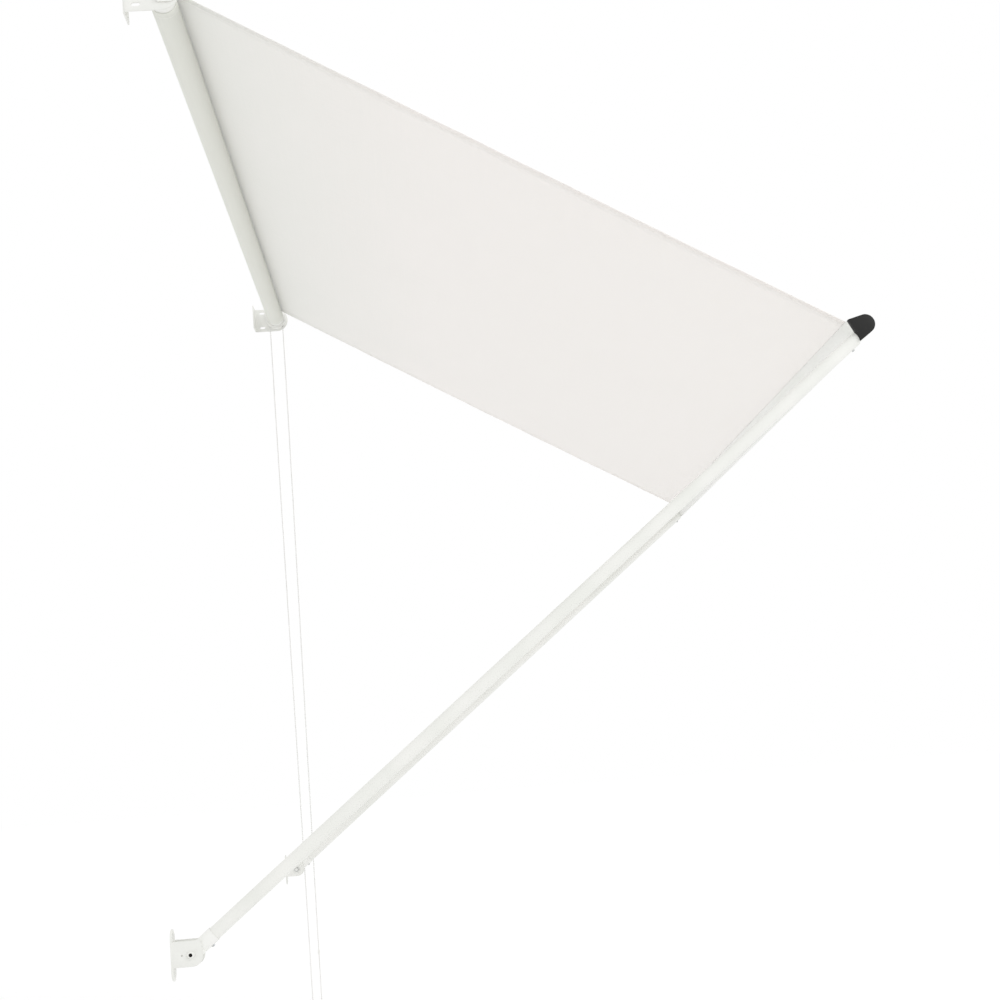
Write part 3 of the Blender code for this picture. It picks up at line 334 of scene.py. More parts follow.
# %% [markdown]
# ## Woven polyester awning cloth
#
# The cloth is a plain weave: warp threads run from the roller to the bar and weft threads cross them,
# over one and under the next. The height of such a weave is the product of two sine waves. Real threads
# lie 0.45 mm apart, too fine to show, so they are drawn 1.2 mm apart. Some threads are a little thicker
# or paler, which shows as faint long streaks both ways, and the side hems have a row of stitches.
# The cloth is painted greyer and greener near the roller and warmer towards the bar, so two colours are
# mixed along the first 0.6 m of the sheet: that is painted shade near the roller. The cloth on the roller,
# where several layers lie on each other and no daylight comes through, is a copy of the same finish with
# greener colours of its own, which are painted shade as well.
# Daylight from above goes through the single sheet and softens the crease under it. That adds about a
# sixth to what the underside gives back, so its colours are written darker than they look.
# The pattern lies on the cloth's own UV map, in metres, so that it follows the sheet and the roll.

# %% Awning cloth
THREAD_SPACING = 1.2 * MM
HEM_WIDTH = 0.020
STITCH_LENGTH = 3.5 * MM


def math_node(tree, operation, first, second=0.0):
    return add(tree, "Math", {0: first, 1: second}, operation=operation).outputs[0]


def awning_cloth(name, colours, translucency):
    material, tree, shader = finish_of(name, Roughness=0.85, Sheen_Weight=0.12, Sheen_Roughness=0.5)
    shader.inputs["Subsurface Weight"].default_value = translucency
    shader.inputs["Subsurface Radius"].default_value = (1.0, 1.0, 1.0)
    shader.inputs["Subsurface Scale"].default_value = 3 * MM
    flat = add(tree, "UVMap", uv_map="cloth").outputs[0]
    split = add(tree, "SeparateXYZ", {0: flat})
    across, along = split.outputs[0], split.outputs[1]
    turns = 2 * math.pi / THREAD_SPACING
    warp = math_node(tree, "SINE", math_node(tree, "MULTIPLY", across, turns))
    weft = math_node(tree, "SINE", math_node(tree, "MULTIPLY", along, turns))
    weave = math_node(tree, "MULTIPLY_ADD", math_node(tree, "MULTIPLY", warp, weft), 0.5)
    weave.node.inputs[2].default_value = 0.5
    warp_streaks = noise(tree, flat, 2.5 * MM, detail=2.0, stretch=(1, 90, 1))
    weft_streaks = noise(tree, flat, 2.5 * MM, detail=2.0, stretch=(90, 1, 1))
    streaks = math_node(tree, "MULTIPLY", math_node(tree, "ADD", warp_streaks, weft_streaks), 0.5)
    broad = noise(tree, flat, 0.35, detail=1.0)
    # Painted shade: the colour goes from the darker, greener one at the roller to the warmer one 0.6 m down
    # the sheet.
    roller_shade_range = {"Value": along, "From Max": 0.6, "To Min": 0.28, "To Max": 0.72}
    shaded = add(tree, "MapRange", roller_shade_range).outputs[0]
    uneven = math_node(tree, "ADD", streaks, math_node(tree, "MULTIPLY", broad, 0.4))
    uneven = math_node(tree, "MULTIPLY", math_node(tree, "SUBTRACT", uneven, 0.7), 0.35)
    body = between(tree, math_node(tree, "ADD", shaded, uneven), *colours)
    from_middle = math_node(tree, "ABSOLUTE", math_node(tree, "SUBTRACT", across, CLOTH_WIDTH / 2))
    to_row = math_node(tree, "SUBTRACT", from_middle, CLOTH_WIDTH / 2 - HEM_WIDTH + 2.5 * MM)
    near_row = math_node(tree, "LESS_THAN", math_node(tree, "ABSOLUTE", to_row), 0.5 * MM)
    step = math_node(tree, "FRACT", math_node(tree, "MULTIPLY", along, 1 / STITCH_LENGTH))
    stitch = math_node(tree, "MULTIPLY", near_row, math_node(tree, "LESS_THAN", step, 0.72))
    thread_colour = {"Factor": stitch, 6: body, 7: linear("F6F4F0")}
    stitched = add(tree, "Mix", thread_colour, data_type="RGBA").outputs[2]
    tree.links.new(stitched, shader.inputs["Base Color"])
    woven = bump(tree, weave, 0.10 * MM)
    slubbed = bump(tree, streaks, 0.15 * MM, woven)
    tree.links.new(bump(tree, stitch, 0.25 * MM, slubbed), shader.inputs["Normal"])
    return material


CANOPY_CLOTH = awning_cloth("woven_awning_cloth", ("D6D6D1", "E0DCD8"), 0.75)
# A shaded copy of the same cloth: its colours are painted greener as shade of the stacked layers, and little
# light goes through it.
SHADED_ROLLED_CLOTH = awning_cloth("woven_awning_cloth_on_roller_painted_shade", ("DFE0D8", "E4E5DE"), 0.1)
print("drawn threads across the cloth:", round(CLOTH_WIDTH / THREAD_SPACING))

# %% [markdown]
# ## The ball chain
#
# The chain is a string of small balls moulded on a thin cord, one in every 6.2 mm, which is the wheel's
# rim divided by its pockets. Its loop hangs straight down from the wheel, and its two runs come slowly
# together towards the bend at the bottom. One ball is made from a sphere, and then copied along the
# route by arrays of numbers, which is quicker than an operator for each of 760 balls.

# %% The chain's route
LOOP_DROP = 2.340
LOOP_HALF_WIDTH = 0.014
CHAIN_X = RIGHT - CHAIN_INSET
CHAIN_PITCH = 2 * math.pi * CHAIN_PITCH_RADIUS / 21


def hanging_route(points_per_run=60, points_in_bend=24):
    """Points down the outer run, round the bottom and up the run beside the wall."""
    low = -LOOP_DROP + LOOP_HALF_WIDTH
    shares = [i / points_per_run for i in range(points_per_run)]
    run = []
    for share in shares:
        closer = share * share * (3 - 2 * share)
        half = CHAIN_PITCH_RADIUS + (LOOP_HALF_WIDTH - CHAIN_PITCH_RADIUS) * closer
        run.append((half, -GAP / 2 + (low + GAP / 2) * share))
    bend = [math.pi * i / points_in_bend for i in range(points_in_bend + 1)]
    bottom = [(-LOOP_HALF_WIDTH * math.cos(t), low - LOOP_HALF_WIDTH * math.sin(t)) for t in bend]
    outline = [(-half, z) for half, z in run] + bottom + [(half, z) for half, z in reversed(run)]
    return [Vector((CHAIN_X, -ROLLER_OUT + y, z)) for y, z in outline]


def wheel_route(points=40):
    """Points over the top of the wheel, from the outer run to the run beside the wall."""
    angles = [math.pi * (1 - i / points) for i in range(points + 1)]
    r = CHAIN_PITCH_RADIUS
    return [Vector((CHAIN_X, -ROLLER_OUT + r * math.cos(t), r * math.sin(t))) for t in angles]


LOOP = hanging_route()

# %% One ball, from a sphere
def deselect():
    bpy.ops.object.select_all(action="DESELECT")


def primitive(kind, **size):
    """Adds a primitive with nothing else selected, and returns it."""
    deselect()
    getattr(bpy.ops.mesh, "primitive_" + kind + "_add")(**size)
    return bpy.context.object


def one_ball():
    ball = primitive("uv_sphere", segments=8, ring_count=6, radius=CHAIN_DIAMETER / 2)
    points = np.array([v.co for v in ball.data.vertices])
    faces = [list(f.vertices) for f in ball.data.polygons]
    bpy.data.objects.remove(ball)
    return points, faces


BALL_POINTS, BALL_FACES = one_ball()
print("one ball has", len(BALL_FACES), "faces")

# %% Balls and their cord along a route
CORD_RADIUS = 0.7 * MM


def evenly(route, spacing, first):
    """Points at an even spacing along a route, the first of them so far from its start."""
    steps = np.array([list(p) for p in route])
    reach = np.concatenate([[0], np.cumsum(np.linalg.norm(np.diff(steps, axis=0), axis=1))])
    wanted = np.arange(first, reach[-1] - spacing * 0.3, spacing)
    return np.stack([np.interp(wanted, reach, steps[:, axis]) for axis in range(3)], axis=1)


def cord_tube(route, sides=8):
    """A thin tube along a route in the plane across X, with closed ends, as points and faces."""
    centres = [np.array(p) for p in route]
    points, faces = [], []
    for i, centre in enumerate(centres):
        ahead = centres[min(i + 1, len(centres) - 1)] - centres[max(i - 1, 0)]
        ahead = ahead / np.linalg.norm(ahead)
        side = np.array((1.0, 0.0, 0.0))
        other = np.cross(ahead, side)
        for k in range(sides):
            t = 2 * math.pi * k / sides
            points.append(centre + CORD_RADIUS * (side * math.cos(t) + other * math.sin(t)))
    for i in range(len(centres) - 1):
        for k in range(sides):
            a, b = i * sides + k, i * sides + (k + 1) % sides
            faces.append([a, b, b + sides, a + sides])
    faces.append(list(range(sides))[::-1])
    faces.append([len(points) - sides + k for k in range(sides)])
    return points, faces


def ball_chain(name, route, first):
    points, faces = cord_tube(route)
    for centre in evenly(route, CHAIN_PITCH, first):
        start = len(points)
        points.extend(BALL_POINTS + centre)
        faces.extend([[start + v for v in face] for face in BALL_FACES])
    mesh = bpy.data.meshes.new(name)
    mesh.from_pydata([tuple(p) for p in points], [], faces)
    chain = bpy.data.objects.new(name, mesh)
    bpy.context.scene.collection.objects.link(chain)
    mesh.shade_smooth()
    mesh.materials.append(CHAIN_POLYESTER)
    print(name, "has", (len(points) - 8 * len(route)) // len(BALL_POINTS), "balls")
    return chain


loop_of_balls = ball_chain("hanging_ball_chain", LOOP, CHAIN_PITCH / 2)
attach(loop_of_balls, "root")
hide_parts("chain_loop")
balls_on_wheel = ball_chain("ball_chain_on_wheel", wheel_route(), CHAIN_PITCH / 4)
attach(balls_on_wheel, "root")
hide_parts("chain_wrap")

# %% [markdown]
# ## The sheet of cloth
#
# The cloth is pulled flat between the roller and the front bar by the weight of the bar and the arms,
# but never quite: it sags a few millimetres, shallow folds run the way it is pulled, and they are
# deepest near the side hems, where the doubled cloth is stiffer than the rest. It is built as a grid of
# points on the line from the top of the roll to the bar's groove, then given its thickness, which is
# doubled in the hems.

# %% Where the cloth starts and ends
canopy_low, canopy_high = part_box("canopy")
canopy_points = np.array([v.co for v in CAD["canopy"].data.vertices])
wall_end = canopy_points[canopy_points[:, 1] > canopy_high.y - 0.002].mean(axis=0)
bar_end = canopy_points[canopy_points[:, 1] < canopy_low.y + 0.002].mean(axis=0)
CLOTH_START = Vector((0, wall_end[1], wall_end[2]))
CLOTH_END = Vector((0, bar_end[1], bar_end[2]))
CLOTH_RUN = (CLOTH_END - CLOTH_START).length
DOWN_THE_CLOTH = (CLOTH_END - CLOTH_START).normalized()
CLOTH_UP = Vector((1, 0, 0)).cross(DOWN_THE_CLOTH).normalized()
if CLOTH_UP.z < 0:
    CLOTH_UP = -CLOTH_UP
slope = math.degrees(math.asin(-DOWN_THE_CLOTH.z))
print("the sheet runs", round(CLOTH_RUN, 3), "m at", round(slope, 1), "degrees")

# %% The sheet's shape
SAG = 3.5 * MM
FOLD_DEPTH = 0.9 * MM
HEM_CURL = 1.6 * MM
PUCKER_DEPTH = 0.35 * MM
FOLD_REACH, PUCKER_REACH, CURL_REACH = 0.12, 0.035, 0.05
# Each fold wave: its share, its turn per metre of width, its drift down the cloth and its start.
FOLD_WAVES = ((0.45, 9.1, 0.0, 0.6), (0.3, 17.3, 0.9, 0.0), (0.25, 31.0, -1.7, 2.0))


def cloth_height(x_share, run_share, x):
    """How far the sheet's middle layer lies off the straight plane between roller and bar."""
    free = math.sin(math.pi * run_share)
    folds = sum(a * math.sin(x * b + run_share * c + d) for a, b, c, d in FOLD_WAVES)
    edge = min(x_share, 1 - x_share) * CLOTH_WIDTH
    near_hem = math.exp(-edge / FOLD_REACH)
    puckers = PUCKER_DEPTH * math.sin(run_share * 46 + x * 3.0) * math.exp(-edge / PUCKER_REACH)
    curl = HEM_CURL * math.exp(-edge / CURL_REACH)
    return free * (-SAG + FOLD_DEPTH * folds * (0.5 + near_hem) + puckers + curl)


def cloth_thickness(x_share, run_share):
    """Nearly doubled in the hems, and thinned out where the sheet lies down on the roll."""
    edge = min(x_share, 1 - x_share) * CLOTH_WIDTH
    doubled = CLOTH_THICKNESS * 0.8 if edge < HEM_WIDTH else 0.0
    taper = min(1.0, 0.15 + run_share * 60)
    return (CLOTH_THICKNESS + doubled) * taper


def x_shares():
    """Even steps across the cloth, with a sharp step of half a millimetre at each hem."""
    hem, soft = HEM_WIDTH / CLOTH_WIDTH, 0.25 * MM / CLOTH_WIDTH
    shares = [0, hem / 2, hem - soft, hem + soft]
    inner = np.linspace(hem + 0.01, 1 - hem - 0.01, 120)
    return shares + list(inner) + [1 - s for s in reversed(shares)]


def run_shares():
    return [0, 0.002, 0.005, 0.01] + list(np.linspace(0.02, 1, 100))


across, down = x_shares(), run_shares()
print("the sheet's grid is", len(across), "by", len(down), "points")

# %% Build the sheet
def sheet_of_cloth():
    layers = {1: [], -1: []}
    flat = []
    for run_share in down:
        for x_share in across:
            x = CLOTH_LEFT + x_share * CLOTH_WIDTH
            middle = CLOTH_START + DOWN_THE_CLOTH * (run_share * CLOTH_RUN) + Vector((x, 0, 0))
            middle = middle + CLOTH_UP * cloth_height(x_share, run_share, x)
            half = cloth_thickness(x_share, run_share) / 2
            for side, points in layers.items():
                points.append(middle + CLOTH_UP * (side * half))
            flat.append((x_share * CLOTH_WIDTH, run_share * CLOTH_RUN))
    columns, rows = len(across), len(down)
    count = columns * rows
    faces = []
    for r in range(rows - 1):
        for c in range(columns - 1):
            a = r * columns + c
            quad = [a, a + 1, a + columns + 1, a + columns]
            faces.append(quad)
            faces.append([count + v for v in reversed(quad)])
    rim = [c for c in range(columns)]
    rim += [r * columns + columns - 1 for r in range(1, rows)]
    rim += [(rows - 1) * columns + c for c in range(columns - 2, -1, -1)]
    rim += [r * columns for r in range(rows - 2, 0, -1)]
    for a, b in zip(rim, rim[1:] + rim[:1]):
        faces.append([b, a, count + a, count + b])
    mesh = bpy.data.meshes.new("canopy_cloth")
    mesh.from_pydata([tuple(p) for p in layers[1] + layers[-1]], [], faces)
    uv = mesh.uv_layers.new(name="cloth")
    for loop in mesh.loops:
        uv.data[loop.index].uv = flat[loop.vertex_index % count]
    sheet = bpy.data.objects.new("canopy_cloth", mesh)
    bpy.context.scene.collection.objects.link(sheet)
    return sheet


def face_outwards(obj):
    """Turns every face of a closed piece outwards."""
    deselect()
    obj.select_set(True)
    bpy.context.view_layer.objects.active = obj
    bpy.ops.object.mode_set(mode="EDIT")
    bpy.ops.mesh.select_all(action="SELECT")
    bpy.ops.mesh.normals_make_consistent(inside=False)
    bpy.ops.object.mode_set(mode="OBJECT")


def smooth(obj, degrees=35):
    deselect()
    obj.select_set(True)
    bpy.context.view_layer.objects.active = obj
    bpy.ops.object.shade_smooth_by_angle(angle=math.radians(degrees))


canopy_cloth = sheet_of_cloth()
face_outwards(canopy_cloth)
smooth(canopy_cloth, 50)
canopy_cloth.data.materials.append(CANOPY_CLOTH)
print("canopy_cloth has", len(canopy_cloth.data.polygons), "faces")

# %% [markdown]
# ## The cloth on the roller
#
# A turn or two of cloth stays on the roller when the awning is open. It is a plain drum from a step
# away, but the hems lie on top of each other and stand a little proud at both ends. The drum is cut
# from a cylinder: rings are cut across it with bisect, the rings at the hems are swelled, and a longer
# cylinder bores it out for the tube.

# %% Drum of cloth
DRUM_PARTS = 24
HEM_STEP = 0.3 * MM
ROLL_BORE = 25.3 * MM


def edit(obj):
    """Goes into edit mode on that piece alone, with nothing in it selected."""
    deselect()
    obj.select_set(True)
    bpy.context.view_layer.objects.active = obj
    bpy.ops.object.mode_set(mode="EDIT")
    bpy.ops.mesh.select_all(action="DESELECT")


def leave_edit():
    bpy.ops.object.mode_set(mode="OBJECT")


def select_where(obj, test):
    """Selects the vertices whose place passes a test, from within edit mode."""
    leave_edit()
    for polygon in obj.data.polygons:
        polygon.select = False
    for edge in obj.data.edges:
        edge.select = False
    for vertex in obj.data.vertices:
        vertex.select = bool(test(vertex.co))
    bpy.ops.object.mode_set(mode="EDIT")
    bpy.ops.mesh.select_mode(type="VERT")


def cut_across(x):
    """Cuts a ring right round the piece that is being edited, at that X."""
    bpy.ops.mesh.select_all(action="SELECT")
    bpy.ops.mesh.bisect(plane_co=(x, 0, 0), plane_no=(1, 0, 0))


def settle(obj):
    """Puts a piece's place into its mesh, so that the object itself is unturned and at the origin."""
    bpy.context.view_layer.update()
    obj.data.transform(obj.matrix_world)
    obj.matrix_world = Matrix.Identity(4)


def drum_of_cloth():
    low_radius, high_radius = ROLL_RADIUS - HEM_STEP / 2, ROLL_RADIUS + HEM_STEP / 2
    drum = primitive(
        "cylinder",
        vertices=96,
        radius=low_radius,
        depth=CLOTH_WIDTH,
        location=((CLOTH_LEFT + CLOTH_RIGHT) / 2, -ROLLER_OUT, 0),
        rotation=(0, math.pi / 2, 0),
    )
    drum.name = "cloth_on_roller"
    settle(drum)
    edit(drum)
    hems = CLOTH_LEFT + HEM_WIDTH, CLOTH_RIGHT - HEM_WIDTH
    for hem in hems:
        for side in (-HEM_STEP, HEM_STEP):
            cut_across(hem + side)
    for i in range(1, DRUM_PARTS):
        cut_across(CLOTH_LEFT + CLOTH_WIDTH * i / DRUM_PARTS)
    select_where(drum, lambda co: co.x < hems[0] or co.x > hems[1])
    swell = high_radius / low_radius
    bpy.ops.transform.resize(value=(1, swell, swell), center_override=(0, -ROLLER_OUT, 0))
    leave_edit()
    return drum


def map_drum(drum):
    """A UV map in metres: across the cloth, and along it as it winds round the roller."""
    uv = drum.data.uv_layers.new(name="cloth")
    for polygon in drum.data.polygons:
        middle = polygon.center
        turned = math.atan2(middle.z, -(middle.y + ROLLER_OUT))
        for loop in polygon.loop_indices:
            co = drum.data.vertices[drum.data.loops[loop].vertex_index].co
            angle = math.atan2(co.z, -(co.y + ROLLER_OUT))
            if abs(angle - turned) > math.pi:
                angle += 2 * math.pi if turned > 0 else -2 * math.pi
            uv.data[loop].uv = (co.x - CLOTH_LEFT, angle * ROLL_RADIUS)


cloth_on_roller = drum_of_cloth()
bore_tool = primitive(
    "cylinder",
    vertices=96,
    radius=ROLL_BORE,
    depth=3.0,
    location=(1, -ROLLER_OUT, 0),
    rotation=(0, math.pi / 2, 0),
)


def cut_out(obj, tool, operation="DIFFERENCE"):
    """Cuts a tool out of a piece with a Boolean, applies it and throws the tool away."""
    deselect()
    obj.select_set(True)
    bpy.context.view_layer.objects.active = obj
    cut = obj.modifiers.new("cut", "BOOLEAN")
    cut.object = tool
    cut.operation = operation
    bpy.ops.object.modifier_apply(modifier=cut.name)
    bpy.data.objects.remove(tool)


cut_out(cloth_on_roller, bore_tool)
map_drum(cloth_on_roller)
smooth(cloth_on_roller, 40)
cloth_on_roller.data.materials.clear()
cloth_on_roller.data.materials.append(SHADED_ROLLED_CLOTH)
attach(cloth_on_roller, "roller")
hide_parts("cloth_roll")
print("cloth_on_roller has", len(cloth_on_roller.data.polygons), "faces")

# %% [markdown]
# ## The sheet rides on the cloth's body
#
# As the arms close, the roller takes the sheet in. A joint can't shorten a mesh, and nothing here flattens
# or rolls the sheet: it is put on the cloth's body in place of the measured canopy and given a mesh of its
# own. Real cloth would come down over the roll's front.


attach(canopy_cloth, "cloth")
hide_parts("canopy")
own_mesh(canopy_cloth)

# %% [markdown]
# ## Round tubes
#
# The roller is an extruded tube 50 mm across and the arms are drawn steel tubes 25 mm across. A lathe
# would make them from a profile, but a tube is quicker as it is made in a mill: a smooth cylinder whose
# ends are inset by the wall's thickness, opened, and joined through the middle with a bridge. An arm's
# upper end is first sawn off at the slant of the front bar's flat back.

# %% A tube from a cylinder
TUBE_WALL = 1.5 * MM


def place_along(obj, start, direction):
    """Stands a piece, made upwards from the origin, on a start point and turns it to a direction."""
    turn = direction.to_track_quat("Z", "Y").to_matrix().to_4x4()
    obj.data.transform(Matrix.Translation(start) @ turn)


def upright(radius, length, vertices=64):
    """A cylinder that stands on the origin."""
    made = primitive("cylinder", vertices=vertices, radius=radius, depth=length, location=(0, 0, length / 2))
    settle(made)
    return made


def open_ends(tube, wall):
    """Turns a solid bar with two end faces into a tube with that wall."""
    edit(tube)
    bpy.ops.mesh.select_mode(type="FACE")
    leave_edit()
    ends = [polygon.index for polygon in tube.data.polygons if len(polygon.vertices) > 4]
    for polygon in tube.data.polygons:
        polygon.select = polygon.index in ends
    bpy.ops.object.mode_set(mode="EDIT")
    bpy.ops.mesh.inset(thickness=wall, use_even_offset=False)
    bpy.ops.mesh.delete(type="ONLY_FACE")
    bpy.ops.mesh.select_mode(type="EDGE")
    bpy.ops.mesh.select_all(action="DESELECT")
    bpy.ops.mesh.select_non_manifold(extend=False, use_wire=False, use_verts=False)
    bpy.ops.mesh.bridge_edge_loops()
    leave_edit()
    face_outwards(tube)


def dress(piece, material, node):
    """Gives a piece its finish, and has it stand for a measured part and ride where that part does."""
    piece.data.materials.clear()
    piece.data.materials.append(material)
    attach(piece, CAD[node]["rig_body"])
    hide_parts(node)


tube_low, tube_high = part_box("roller_tube")
roller_tube = upright((tube_high.z - tube_low.z) / 2, tube_high.x - tube_low.x, vertices=96)
roller_tube.name = "drawn_roller_tube"
open_ends(roller_tube, TUBE_WALL)
place_along(roller_tube, Vector((tube_low.x, -ROLLER_OUT, 0)), Vector((1, 0, 0)))
smooth(roller_tube, 30)
dress(roller_tube, POWDERED_ALUMINIUM, "roller_tube")
print("the roller's tube is", round(tube_high.x - tube_low.x, 4), "m long")

# %% The two arms
ARM_RADIUS = 12.5 * MM
ARM_OFFSET = 8.7 * MM
CLOTH_REACH = 1.500
CANOPY_SLOPE = math.radians(29.3)
PIVOT = Vector((0, -PIVOT_OUT, -PIVOT_DROP))


def points_of(node):
    return [v.co for v in CAD[node].data.vertices]


def lean_of_arm():
    """How far the arm leans out from the wall, from the triangle of roller, front bar and pivot."""
    out = ROLLER_OUT + CLOTH_REACH * math.cos(CANOPY_SLOPE) - PIVOT_OUT
    rise = PIVOT_DROP - CLOTH_REACH * math.sin(CANOPY_SLOPE)
    return math.atan2(out, rise) + math.asin(ARM_OFFSET / math.hypot(out, rise))


ARM_UP = Vector((0, -math.sin(lean_of_arm()), math.cos(lean_of_arm())))
ARM_SIDE = Vector((1, 0, 0)).cross(ARM_UP)
print("the arms lean out", round(math.degrees(math.atan2(-ARM_UP.y, ARM_UP.z)), 2), "degrees")


def arm_ends(node):
    """Where a tube starts above its pivot, and the lowest and highest reach of its slanted end."""
    reach = [(co - PIVOT).dot(ARM_UP) for co in points_of(node)]
    last = [i for i, r in enumerate(reach) if r > max(reach) - 15 * MM]
    sides = [((points_of(node)[i] - PIVOT).dot(ARM_SIDE), reach[i]) for i in last]
    return min(reach), min(sides)[1], max(sides)[1]


def arm_tube(side):
    node = side + "_arm_tube"
    start, one_end, other_end = arm_ends(node)
    tube = upright(ARM_RADIUS, max(one_end, other_end) + 0.01 - start)
    middle = (one_end + other_end) / 2 - start
    slant = math.atan2(other_end - one_end, 2 * ARM_RADIUS)
    edit(tube)
    bpy.ops.mesh.select_all(action="SELECT")
    bpy.ops.mesh.bisect(
        plane_co=(0, 0, middle),
        plane_no=(0, -math.sin(slant), math.cos(slant)),
        use_fill=True,
        clear_outer=True,
    )
    leave_edit()
    open_ends(tube, TUBE_WALL)
    x = (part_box(node)[0].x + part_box(node)[1].x) / 2
    turn = Matrix(((1, 0, 0), (0, ARM_SIDE.y, ARM_UP.y), (0, ARM_SIDE.z, ARM_UP.z))).to_4x4()
    tube.data.transform(Matrix.Translation(PIVOT + Vector((x, 0, 0)) + ARM_UP * start) @ turn)
    tube.name = "drawn_" + node
    # That turn mirrors the tube as well, so its faces are turned outwards again.
    face_outwards(tube)
    smooth(tube, 30)
    dress(tube, POWDERED_STEEL, node)
    print(tube.name, "has", len(tube.data.polygons), "faces")


SIDES = ("left", "right")
for side in SIDES:
    arm_tube(side)

# %% [markdown]
# ## Screws, bolts and nuts
#
# The small screws have a pan head: a low disc with a round shoulder and a cross pressed into it. The pivot
# bolts have a button head with a hexagon socket, painted over with the brackets, and the inside of the
# socket is given a dark finish as painted shade in the recess. The nuts are hexagons with their corners
# turned off.
# Each is made once standing on the origin, head down, and copied to its places.

# %% The pan-head screw
def bevel_edges(piece, width, segments, test):
    """Rounds the edges whose two ends pass a test."""
    edit(piece)
    select_where(piece, test)
    bpy.ops.mesh.select_mode(type="EDGE")
    bpy.ops.mesh.bevel(offset=width, segments=segments, affect="EDGES", clamp_overlap=True)
    leave_edit()


def bar_tool(size, at_height):
    """A small block for cutting a slot."""
    tool = primitive("cube", size=1, location=(0, 0, at_height), scale=size)
    settle(tool)
    return tool


def pan_head_screw(head_radius, head_height, shank_radius, shank_length):
    """Its head lies below the origin and its shank goes up."""
    screw = upright(head_radius, head_height, vertices=40)
    screw.data.transform(Matrix.Translation((0, 0, -head_height)))
    bevel_edges(screw, head_height * 0.72, 4, lambda co: co.z < -head_height * 0.9)
    slot = head_radius * 1.15, head_radius * 0.24, head_height * 1.1
    cut_out(screw, bar_tool(slot, -head_height))
    cut_out(screw, bar_tool((slot[1], slot[0], slot[2]), -head_height))
    shank = upright(shank_radius, shank_length, vertices=24)
    bevel_edges(shank, shank_radius * 0.6, 1, lambda co: co.z > shank_length * 0.9)
    shank.data.transform(Matrix.Translation((0, 0, -head_height * 0.15)))
    cut_out(screw, shank, "UNION")
    smooth(screw, 30)
    return screw


def copy_to(model, name, start, direction):
    """A copy with its own mesh, standing on a point and pointing along a direction."""
    piece = bpy.data.objects.new(name, model.data.copy())
    bpy.context.scene.collection.objects.link(piece)
    place_along(piece, start, direction)
    return piece


def seat_of(node, inwards, head_height):
    """The middle of the seat under a screw's head, from the measured screw."""
    points = points_of(node)
    depth = min(co.dot(inwards) for co in points)
    low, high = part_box(node)
    middle = (low + high) / 2
    return middle + inwards * (depth + head_height - middle.dot(inwards))


ENDS = ("lower", "upper")
PAN_HEAD_HEIGHT = 2.2 * MM
arm_screw = pan_head_screw(3.2 * MM, PAN_HEAD_HEIGHT, 1.5 * MM, 7.5 * MM)
for side in SIDES:
    for end in ENDS:
        node = side + "_arm_" + end + "_screw"
        low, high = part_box(node)
        centre = Vector(((low.x + high.x) / 2, -PIVOT_OUT, -PIVOT_DROP))
        reach = [(co - PIVOT).dot(ARM_UP) for co in points_of(node)]
        centre = centre + ARM_UP * ((min(reach) + max(reach)) / 2)
        depth = min((co - centre).dot(-ARM_SIDE) for co in points_of(node))
        seat = centre - ARM_SIDE * (depth + PAN_HEAD_HEIGHT)
        piece = copy_to(arm_screw, "pan_head_" + node, seat, -ARM_SIDE)
        dress(piece, ZINC_PLATE, node)
bpy.data.objects.remove(arm_screw)
print("four arm screws, heads towards", [round(x, 2) for x in ARM_SIDE])

# %% The keeper's and the core's screws
for kind, shank, inwards in (
    ("keeper_screw", 1.5 * MM, Vector((1, 0, 0))),
    ("hub_screw", 2.0 * MM, Vector((-1, 0, 0))),
):
    low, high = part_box("lower_" + kind)
    shank_length = high.x - low.x - PAN_HEAD_HEIGHT
    model = pan_head_screw((high.z - low.z) / 2, PAN_HEAD_HEIGHT, shank, shank_length)
    for end in ENDS:
        node = end + "_" + kind
        seat = seat_of(node, inwards, PAN_HEAD_HEIGHT)
        piece = copy_to(model, "pan_head_" + node, seat, inwards)
        dress(piece, ZINC_PLATE, node)
    bpy.data.objects.remove(model)
print("two screws in the keeper and two in the core")

# %% Painted shade in the socket of a painted bolt
# Painted shade: a dark, mottled finish for the faces inside each bolt's hexagon socket, where shade falls.
socket_shade_finish, tree, shader = finish_of("painted_shade_in_socket", Metallic=0.6, Roughness=0.6)
place = add(tree, "TexCoord").outputs["Object"]
shade_mottle = noise(tree, place, 1.2 * MM, detail=2.0)
tree.links.new(between(tree, shade_mottle, "1A1918", "302E2B"), shader.inputs["Base Color"])
tree.links.new(between(tree, shade_mottle, 0.5, 0.7), shader.inputs["Roughness"])
tree.links.new(bump(tree, shade_mottle, 0.02 * MM), shader.inputs["Normal"])
SOCKET_SHADE = socket_shade_finish
BOLT_HEAD_RADIUS, BOLT_HEAD_HEIGHT = 7 * MM, 4.5 * MM
KEY_RADIUS, KEY_DEPTH = 3 * MM, 2.5 * MM


def button_head_bolt(length):
    """Its head lies below the origin and its shank goes up."""
    bolt = upright(BOLT_HEAD_RADIUS, BOLT_HEAD_HEIGHT, vertices=64)
    bolt.data.transform(Matrix.Translation((0, 0, -BOLT_HEAD_HEIGHT)))
    bevel_edges(bolt, 3.6 * MM, 6, lambda co: co.z < -BOLT_HEAD_HEIGHT * 0.9)
    shank = upright(4 * MM, length, vertices=48)
    bevel_edges(shank, 0.6 * MM, 1, lambda co: co.z > length * 0.9)
    shank.data.transform(Matrix.Translation((0, 0, -BOLT_HEAD_HEIGHT * 0.1)))
    cut_out(bolt, shank, "UNION")
    key = upright(KEY_RADIUS, 2 * KEY_DEPTH, vertices=6)
    key.data.transform(Matrix.Translation((0, 0, -BOLT_HEAD_HEIGHT - KEY_DEPTH)))
    cut_out(bolt, key)
    smooth(bolt, 30)
    return bolt


